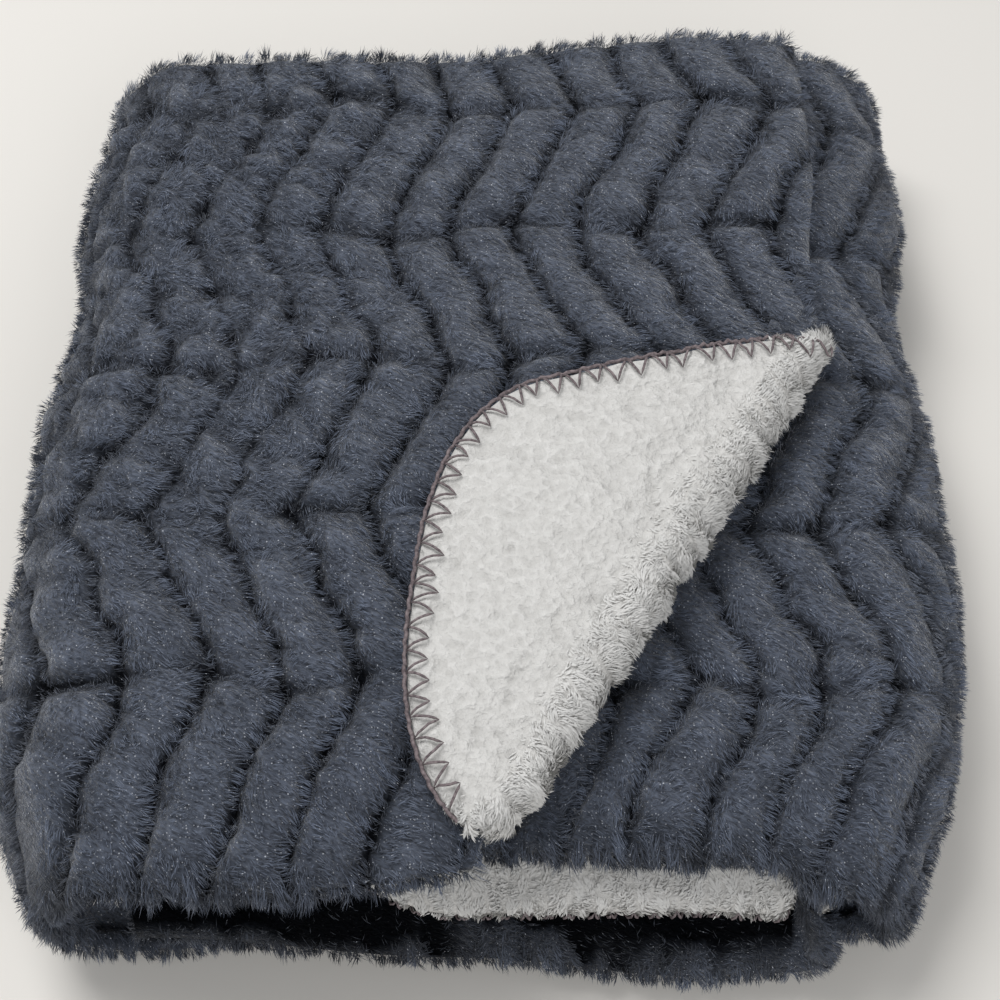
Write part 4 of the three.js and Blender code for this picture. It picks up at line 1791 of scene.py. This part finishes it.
@dataclass
class PlushPile:
    """The plush's pile, in a piece for each side of the pack.

    Attributes:
        ridge: puff over which a lobe's shoulder goes over into its ridge.
        dense: density in a plain place, and what a shoulder adds and a groove takes.
        back_hem: from which y a hem is denser, and by how much.
        lengths: length in a plain place, and what a shoulder adds and a groove takes.
        painted_shades: painted light that a shoulder adds to the shade, painted shade that a
            groove takes, and what a plain place has.
        hem_painted_shade: the painted shade that the front hems take, and the distance over which
            they do.
        tangles: what a hem, a groove and matted pile add to the tangle.
        corner_bed: length, turn, painted shade and tangle of that pile.
    """

    cloth: FoldedCloth
    under: float = 15
    under_share: float = 0.8
    rim_from: float = 11
    rim_points: int = 90
    covered: float = 16
    hem: Stretch = Stretch(3, 14)
    groove: Stretch = Stretch(0.22, 0.76)
    ridge: Stretch = Stretch(0.78, 0.95)
    low: Stretch = Stretch(2, 30)
    low_dense: float = 0.25
    dense: tuple = (0.6, 0.9, 0.2)
    back_hem: tuple = (100, 0.9)
    base_dense: float = 0.6
    front: Stretch = Stretch(38, 60)
    back: Stretch = Stretch(12, 22)
    lengths: tuple = (0.8, 0.45, 0.1)
    hem_length: float = 0.5
    low_length: float = 0.7
    forward: float = 0.35
    painted_shades: tuple = (0.06, 0.55, 0.02)
    hollow_painted_shade: float = 0.5
    lumpy: float = 0.2
    hem_painted_shade: float = 0.22
    front_hem: Stretch = Stretch(4, 16)
    tangles: tuple = (1.5, 0.8, 1.6)
    fringe: Stretch = Stretch(2, 11)
    fringe_from: float = 20
    fringe_forward: float = 0.7
    rim: Stretch = Stretch(3, 7)
    tips: Stretch = Stretch(8, 14)
    corner_bed: tuple = (0.9, 0.0, -0.1, 1.4)

    def __post_init__(self) -> None:
        """Works out where pile grows and how."""
        cloth, patch, fold = self.cloth, self.cloth.layers, self.cloth.fold
        s, y, x = patch.across, patch.along, cloth.plan_x
        self.s_mid = patch.centres(s)
        under = (CORNER.inside(x, y) > self.under) & self._under_corner(x, y)
        covered = x < CORNER.top_reach(y) - self.covered
        second, top = fold.part("second"), fold.part("top")
        hidden = ((s <= top.end) & under) | ((s >= second.start) & (s <= second.end) & covered)
        shows = np.where(hidden, 0.0, 1.0)
        hem, groove = self.hem.fall(cloth.edge), self.groove.fall(cloth.puff)
        shoulder = (1 - groove) * self.ridge.fall(cloth.puff)
        low = self.low.rise(patch.points[..., 2])
        plain, more, less = self.dense
        back_from, denser = self.back_hem
        dense = plain + more * shoulder - less * groove + hem * (1 + denser * (y > back_from))
        dense = dense * cloth.painted_hollow_light
        self.weight = patch.centres(
            shows * (self.low_dense + (1 - self.low_dense) * low) * dense)
        plain, more, less = self.lengths
        length = (plain + more * shoulder - less * groove) * (1 + self.hem_length * hem)
        length = length * np.where(s > fold.part("third_turn").end, self.low_length, 1.0)
        forward = self.forward * hem * np.where(y < 0, 1.0, -1.0)
        # painted shade of the strands: a little lighter on the shoulders, darker in the grooves,
        # in the hollow, where the lumps are low and towards the front hems
        more, less, plain = self.painted_shades
        tone = more * shoulder - less * groove + plain - self.hollow_painted_shade * (1 - cloth.painted_hollow_light)
        tone = tone + self.lumpy * cloth.lumps
        tone = tone - self.hem_painted_shade * self.front_hem.fall(cloth.before)
        in_hem, in_groove, matted = self.tangles
        tangle = 1.0 + in_hem * hem + in_groove * groove + matted * cloth.matted
        self.how = {"length": length, "forward": forward, "tone": tone, "tangle": tangle}
        front = self.fringe.fall(cloth.before) * (s > top.start + self.fringe_from)
        self.on_front = patch.centres(shows * front * cloth.painted_hollow_light)

    def _under_corner(self, x: Array, y: Array) -> Array:
        """Whether a place in plan is well under the turned corner, by counting rim crossings.

        Args:
            x: place from left to right.
            y: place from front to back.

        Returns:
            True where it is.
        """
        rim = CORNER.rim(CORNER.start - self.rim_from, CORNER.end,
                         np.linspace(0, 1, self.rim_points))
        centre = rim.mean(0)
        rim = centre + (rim - centre) * self.under_share
        loop = np.concatenate([rim, rim[:1]])
        inside = np.zeros(x.shape, bool)
        for (ax, ay), (bx, by) in zip(loop[:-1], loop[1:]):
            crosses = (ay > y) != (by > y)
            rise = np.where(abs(by - ay) < TINY, TINY, by - ay)
            inside ^= crosses & (x < ax + (bx - ax) * (y - ay) / rise)
        return inside

    def _between(self, first: str, last: str) -> Array:
        """Picks the cells of some stretches of the fold.

        Args:
            first: the first of them.
            last: the last one.

        Returns:
            1 for their cells, else 0.
        """
        low, high = self.cloth.fold.part(first).start, self.cloth.fold.part(last).end
        return ((self.s_mid >= low) & (self.s_mid <= high)).astype(float)

    def build(self, finish: bpy.types.Material) -> list[bpy.types.Object]:
        """Grows the pile.

        Args:
            finish: the pile's material.

        Returns:
            The pieces.
        """
        cloth, layers, on = self.cloth, self.cloth.layers, self._between
        base = on("bottom", "bottom")
        front = on("third", "fourth_turn") + self.base_dense * base
        back = on("inner", "fifth") + base
        near_front, near_back = (layers.centres(stretch.fall(away)) for stretch, away in
                                 ((self.front, cloth.before), (self.back, cloth.behind)))
        beds = [Bed(layers, where * self.weight, **self.how) for where in (
            on("top", "top"), on("top_turn", "top_turn"), on("bottom_turn", "second"),
            front * near_front, back * near_back)]
        fringe = on("top", "second") + on("fourth", "fourth_turn")
        edge = np.maximum(self.rim.fall(cloth.to_rim), self.tips.fall(cloth.to_end))
        beds.append(Bed(layers, fringe * self.on_front, self.how["length"], self.fringe_forward,
                        self.how["tone"], 1.0))
        beds.append(Bed(cloth.corner, cloth.corner.centres(edge), *self.corner_bed))
        plan = (  # name, pile, strands, seed
            ("plush_pile_top", PLUSH, 90000, 101),
            ("plush_pile_left", PLUSH, 48000, 102),
            ("plush_pile_right", PLUSH, 81000, 103),
            ("plush_pile_front", PLUSH, 30000, 104),
            ("plush_pile_back", PLUSH, 12000, 107),
            ("plush_fringe_front", FRINGE, 16000, 106),
            ("plush_pile_corner", PLUSH, 7000, 105),
        )
        return [write_pile(name, grow(bed, count, pile, seed), finish)
                for bed, (name, pile, count, seed) in zip(beds, plan)]


@dataclass
class SherpaPile:
    """The sherpa's curls on the turned corner and along the edges of the layers.

    Attributes:
        corner_lengths: length in a plain place, and what the bend and the ends add.
        beside: how far past a turn they go on.
    """

    cloth: FoldedCloth
    bend_row: float = 9
    bend_rows: float = 4.5
    end: Stretch = Stretch(0, 8)
    bend_dense: float = 1.6
    end_dense: float = 2.5
    corner_lengths: tuple = (0.85, 1.0, 0.8)
    corner_tangles: tuple = (1.0, 1.2, 1.0)
    end_forward: float = 0.9
    lower_end: float = -80
    front: Stretch = Stretch(28, 42)
    hem: Stretch = Stretch(3, 14)
    hem_length: float = 0.3
    hem_forward: float = 0.4
    back: Stretch = Stretch(14, 24)
    sides: Stretch = Stretch(25, 45)
    beside: float = 30
    ends_length: float = 1.35
    ends_tangle: float = 1.6

    def __post_init__(self) -> None:
        """Reads the distance along the fold in the middle of each cell."""
        self.s_mid = self.cloth.layers.centres(self.cloth.layers.across)

    def _corner(self) -> Bed:
        """The bend and the ends of the turned corner, where the strands stand out.

        Returns:
            The bed.
        """
        corner = self.cloth.corner
        rows = np.arange(corner.points.shape[0])[:, None]
        bent = np.exp(-(((rows - self.bend_row) / self.bend_rows) ** 2))
        bent = bent * np.ones(self.cloth.to_end.shape)
        end = self.end.fall(self.cloth.to_end)
        length, tangle = (plain + on_bend * bent + at_end * end for plain, on_bend, at_end in
                          (self.corner_lengths, self.corner_tangles))
        weight = corner.centres(self.bend_dense * bent + self.end_dense * end)
        forward = self.end_forward * end * (corner.along < self.lower_end)
        return Bed(corner, weight, length, forward, 0.0, tangle)

    def _front(self) -> Bed:
        """The front of the layer that shows its sherpa.

        Returns:
            The bed.
        """
        cloth, layers = self.cloth, self.cloth.layers
        start, end = (cloth.fold.part(name) for name in ("third", "third_turn"))
        band = (self.s_mid >= start.start) & (self.s_mid <= end.end)
        hem = self.hem.fall(cloth.edge)
        return Bed(layers, band * layers.centres(self.front.fall(cloth.before)),
                   1 + self.hem_length * hem, self.hem_forward * hem, 0.0, 1 + hem)

    def _ends(self) -> Bed:
        """The back edges of all the layers, and the front edges of the two side turns.

        Returns:
            The bed.
        """
        cloth, layers = self.cloth, self.cloth.layers
        weight = layers.centres(self.back.fall(cloth.behind))
        for turn in (cloth.fold.part(name) for name in ("top_turn", "bottom_turn")):
            low, high = turn.start - self.beside, turn.end + self.beside
            inside = (self.s_mid >= low) & (self.s_mid <= high)
            weight = weight + inside * layers.centres(self.sides.fall(cloth.before))
        return Bed(layers, weight, self.ends_length, 0.0, 0.0, self.ends_tangle)

    def build(self, finish: bpy.types.Material) -> list[bpy.types.Object]:
        """Grows the curls.

        Args:
            finish: the curls' material.

        Returns:
            The pieces.
        """
        plan = (  # name, bed, strands, seed
            ("sherpa_pile_corner", self._corner(), 32000, 201),
            ("sherpa_pile_front", self._front(), 24000, 202),
            ("sherpa_pile_ends", self._ends(), 16000, 203),
        )
        return [write_pile(name, grow(bed, count, SHERPA, seed), finish)
                for name, bed, count, seed in plan]


# Stitches


@dataclass
class Overlock:
    """The zigzag overlock stitch that joins the two cloths along their edges.

    Attributes:
        uneven: how far the outer and inner corners of the zigzag are moved about.
        across_row: row, counted from the rim, that tells which way inwards is.
        from_rim: where on the rim an arm begins, and where the thread along it lies.
        arch: height of an arm's ends above the cloth, and of its middle above those.
        wave: height of the thread along the edge, its swing, and its steepness.
    """

    sherpa: FoldedCloth
    pitch: float = 7.8
    depth: float = 7.6
    radius: float = 0.45
    edge_radius: float = 0.7
    points: int = 6
    uneven: tuple = (0.12, 1)
    reaches: tuple = (-0.15, 0.12)
    bend_row: int = 9
    across_row: int = 20
    from_rim: tuple = (0.4, 0.3)
    nearest: int = 4
    softening: float = 0.05
    lift: float = 0.6
    arch: tuple = (1.0, 1.1)
    hem_arch: tuple = (1.2, 0.9)
    wave: tuple = (1.1, 0.3, 1.3)
    step: float = 1.5
    hem_rows: tuple = (0.2, 4.6)
    rim_row: int = 4

    def _arms(self, length: float, seed: int) -> tuple[Array, Array]:
        """Places of the zigzag's arms, as distances along and in from the edge.

        Each arm is a straight line from the edge to an inner corner, and the corners are moved
        about a little, as a machine sews them in a thick pile.

        Args:
            length: of the edge.
            seed: of the random draws.

        Returns:
            Distance along the edge and share of the depth, arms x points each.
        """
        rng = np.random.default_rng(seed)
        count = int(length / self.pitch)
        off, off_inner = self.uneven
        outer = (np.arange(count + 1) + rng.uniform(-off, off, count + 1)) * self.pitch
        inner = (outer[:-1] + outer[1:]) / 2 + rng.uniform(-off_inner, off_inner, count)
        reach = 1 + rng.uniform(*self.reaches, count)
        share = np.linspace(0, 1, self.points)
        starts = np.concatenate([outer[:-1], outer[1:]])[:, None]
        along = mix(starts, np.tile(inner, 2)[:, None], share[None])
        return along, np.tile(reach, 2)[:, None] * share[None]

    def _arched(self, path: Array, up: Array, arch: tuple) -> Array:
        """Arms raised off the cloth: by low at both ends and by low + high in the middle.

        Args:
            path: points of the arms on the cloth.
            up: the direction away from it.
            arch: low and high.

        Returns:
            The raised points.
        """
        low, high = arch
        height = low + high * np.sin(math.pi * np.linspace(0, 1, self.points))
        return path + up * height[None, :, None]

    def _on_corner(self) -> list[tuple]:
        """The zigzag of the turned corner and the thread along its edge.

        A point lies on the rim moved inwards in plan, at the height of the cloth round it, which
        is the mean of its nearest grid points weighted by the inverse of their distance.

        Returns:
            Paths, the directions away from the cloth and the thread's radius of both.
        """
        corner = self.sherpa.corner
        upper = slice(self.bend_row, None)
        rim = np.concatenate([corner.points[upper, 0], corner.points[-1, 1:]])
        run = np.concatenate([[0], np.cumsum(np.linalg.norm(np.diff(rim, axis=0), axis=-1))])
        cloth = corner.points[upper].reshape(-1, 3)
        ups = corner.normals[upper].reshape(-1, 3)
        ahead = unit(np.gradient(rim[:, :2], axis=0))
        inward = np.stack([-ahead[:, 1], ahead[:, 0]], -1)
        middle = corner.points[-self.across_row, corner.points.shape[1] // 2, :2]
        half = len(rim) // 2
        if ((middle - rim[half, :2]) * inward[half]).sum() < 0:
            inward = -inward

        def place(along: Array, depth: Array) -> tuple[Array, Array]:
            """Points on the cloth beside the rim.

            Args:
                along: distance along the rim.
                depth: distance in from it.

            Returns:
                The points and the cloth's normals there.
            """
            plan = np.stack([np.interp(along, run, rim[:, k])
                             + depth * np.interp(along, run, inward[:, k]) for k in (0, 1)], -1)
            gaps = np.linalg.norm(plan[..., None, :] - cloth[:, :2], axis=-1)
            near = np.argpartition(gaps, self.nearest, axis=-1)[..., : self.nearest]
            weight = 1 / (np.take_along_axis(gaps, near, -1) + self.softening)
            weight = (weight / weight.sum(-1, keepdims=True))[..., None]
            height = (cloth[near][..., 2:] * weight).sum(-2)
            return np.concatenate([plan, height], -1), unit((ups[near] * weight).sum(-2))

        arms_from, thread_at = self.from_rim
        along, share = self._arms(run[-1], 31)
        path, up = place(along, arms_from + share * self.depth)
        up = unit(up + np.array([0, 0, self.lift]))
        steps = np.arange(0, run[-1], self.step)
        line, line_up = place(steps[None], np.full((1, steps.size), thread_at))
        level, swing, steepness = self.wave
        wave = level + swing * np.sin(steps * steepness)
        return [(self._arched(path, up, self.arch), up, self.radius),
                (line + line_up * wave[None, :, None], line_up, self.edge_radius)]

    def _on_hem(self, front: bool) -> tuple:
        """The zigzag round a rolled hem of the layer that shows its sherpa.

        Args:
            front: whether it is the front hem or the back one.

        Returns:
            Paths, the directions away from the cloth and the thread's radius.
        """
        patch, part = self.sherpa.layers, self.sherpa.fold.part("third")
        along, share = self._arms(part.end - part.start, 32)
        columns = patch.across[self.rim_row]
        column = np.interp(part.start + along, columns, np.arange(columns.size))
        row = mix(*self.hem_rows, share)
        row = row if front else len(patch.across) - 1 - row
        up = unit(patch.sample(patch.normals, row, column))
        path = patch.sample(patch.points, row, column)
        return self._arched(path, up, self.hem_arch), up, self.radius

    def build(self, finish: bpy.types.Material) -> bpy.types.Object:
        """Makes all the stitches in one piece.

        Args:
            finish: the thread's material.

        Returns:
            The object.
        """
        vertices, faces, count = [], [], 0
        for path, up, radius in [*self._on_corner(), self._on_hem(True), self._on_hem(False)]:
            points, walls = tubes(path, up, radius)
            vertices.append(points)
            faces.append(walls + count)
            count += len(points)
        thing = write_mesh("overlock_stitch", np.concatenate(vertices), np.concatenate(faces))
        thing.data.materials.append(finish)
        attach(thing, BODY)
        LOG.info("%s: %d faces", thing.name, len(thing.data.polygons))
        return thing


# The studio


@dataclass(frozen=True)
class Lamp:
    """A square area lamp that points at the origin, its sizes in metres and its power in W."""

    name: str
    place: tuple
    size: float
    power: float

    def build(self) -> None:
        """Hangs the lamp."""
        lamp = bpy.data.lights.new(self.name, "AREA")
        lamp.size, lamp.energy = self.size, self.power
        thing = bpy.data.objects.new(self.name, lamp)
        thing.location = self.place
        thing.rotation_euler = (-Vector(self.place)).to_track_quat("-Z", "Y").to_euler()
        bpy.context.scene.collection.objects.link(thing)


@dataclass(frozen=True)
class Studio:
    """Floor, light and camera."""

    focal: float = 1.6
    sensor: float = 36.0
    elevation: float = 59.84
    roll: float = 2.47
    yaw: float = -1.81
    place: tuple = (14.3, -317.0, 566.0)
    clip: float = 0.01
    floor_size: float = 3000.0
    floor_colour: tuple = (0.72, 0.695, 0.655)
    floor_roughness: float = 0.9
    lamps: tuple = (Lamp("key", (-0.5, 0.52, 1.55), 0.85, 22.0),
                    Lamp("fill", (0.5, -1.2, 1.1), 1.2, 10.5))
    sky_colour: tuple = (0.95, 0.97, 1.0)
    sky_strength: float = 0.32

    def _camera(self) -> None:
        """Sets the camera where the photograph was taken from."""
        e, roll, yaw = (math.radians(a) for a in (self.elevation, self.roll, self.yaw))
        ahead = Vector((math.sin(yaw) * math.cos(e), math.cos(yaw) * math.cos(e), -math.sin(e)))
        right = Vector((math.cos(yaw), -math.sin(yaw), 0))
        down = ahead.cross(right)
        level, drop = math.cos(roll), math.sin(roll)
        right, down = level * right + drop * down, level * down - drop * right
        lens = bpy.data.cameras.new("camera")
        lens.sensor_width = self.sensor
        lens.lens = self.focal * self.sensor
        lens.clip_start = self.clip
        camera = bpy.data.objects.new("camera", lens)
        turn = Matrix((right, -down, -ahead)).transposed()
        camera.matrix_world = Matrix.Translation(Vector(self.place) * MM) @ turn.to_4x4()
        bpy.context.scene.collection.objects.link(camera)
        bpy.context.scene.camera = camera

    def _floor(self) -> None:
        """A plain pale floor."""
        signs = np.array([[-1, -1, 0], [1, -1, 0], [1, 1, 0], [-1, 1, 0]])
        floor = write_mesh("floor", signs * self.floor_size, np.array([[0, 1, 2, 3]]))
        floor.data.materials.append(Shading("floor").finish(
            {"Base Color": (*self.floor_colour, 1.0), "Roughness": self.floor_roughness}))

    def _light(self) -> None:
        """The lamps and the sky."""
        for lamp in self.lamps:
            lamp.build()
        world = bpy.data.worlds.new("sky")
        world.use_nodes = True
        sky = world.node_tree.nodes["Background"].inputs
        sky["Color"].default_value = (*self.sky_colour, 1.0)
        sky["Strength"].default_value = self.sky_strength
        bpy.context.scene.world = world
        bpy.context.scene.view_settings.view_transform = "Standard"

    def build(self) -> None:
        """Makes all three."""
        self._camera()
        self._floor()
        self._light()


def declare(thing: bpy.types.Object, node: str) -> None:
    """Hides the node that a cloth stands for and attaches the cloth to the body it rides on.

    Args:
        thing: the cloth.
        node: the node it replaces.
    """
    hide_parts(node)
    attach(thing, BODY)
    LOG.info("%s: %d faces", thing.name, len(thing.data.polygons))


def main() -> None:
    """Builds the studio and the throw."""
    logging.basicConfig(level=logging.INFO, format="%(name)s %(message)s")
    Studio().build()
    fold = Fold()
    plush, sherpa = FoldedCloth(fold, Cloth.PLUSH), FoldedCloth(fold, Cloth.SHERPA)
    face = plush.build("plush_cloth", PLUSH_GROUND.make())
    back = sherpa.build("sherpa_cloth", SHERPA_GROUND.make())
    plush_pile = PlushPile(plush).build(PLUSH_PILE.make())
    sherpa_pile = SherpaPile(sherpa).build(SHERPA_PILE.make())
    stitch = Overlock(sherpa).build(THREAD.make())
    declare(face, "plush_face")
    declare(back, "sherpa_back")


if __name__ == "__main__":
    main()
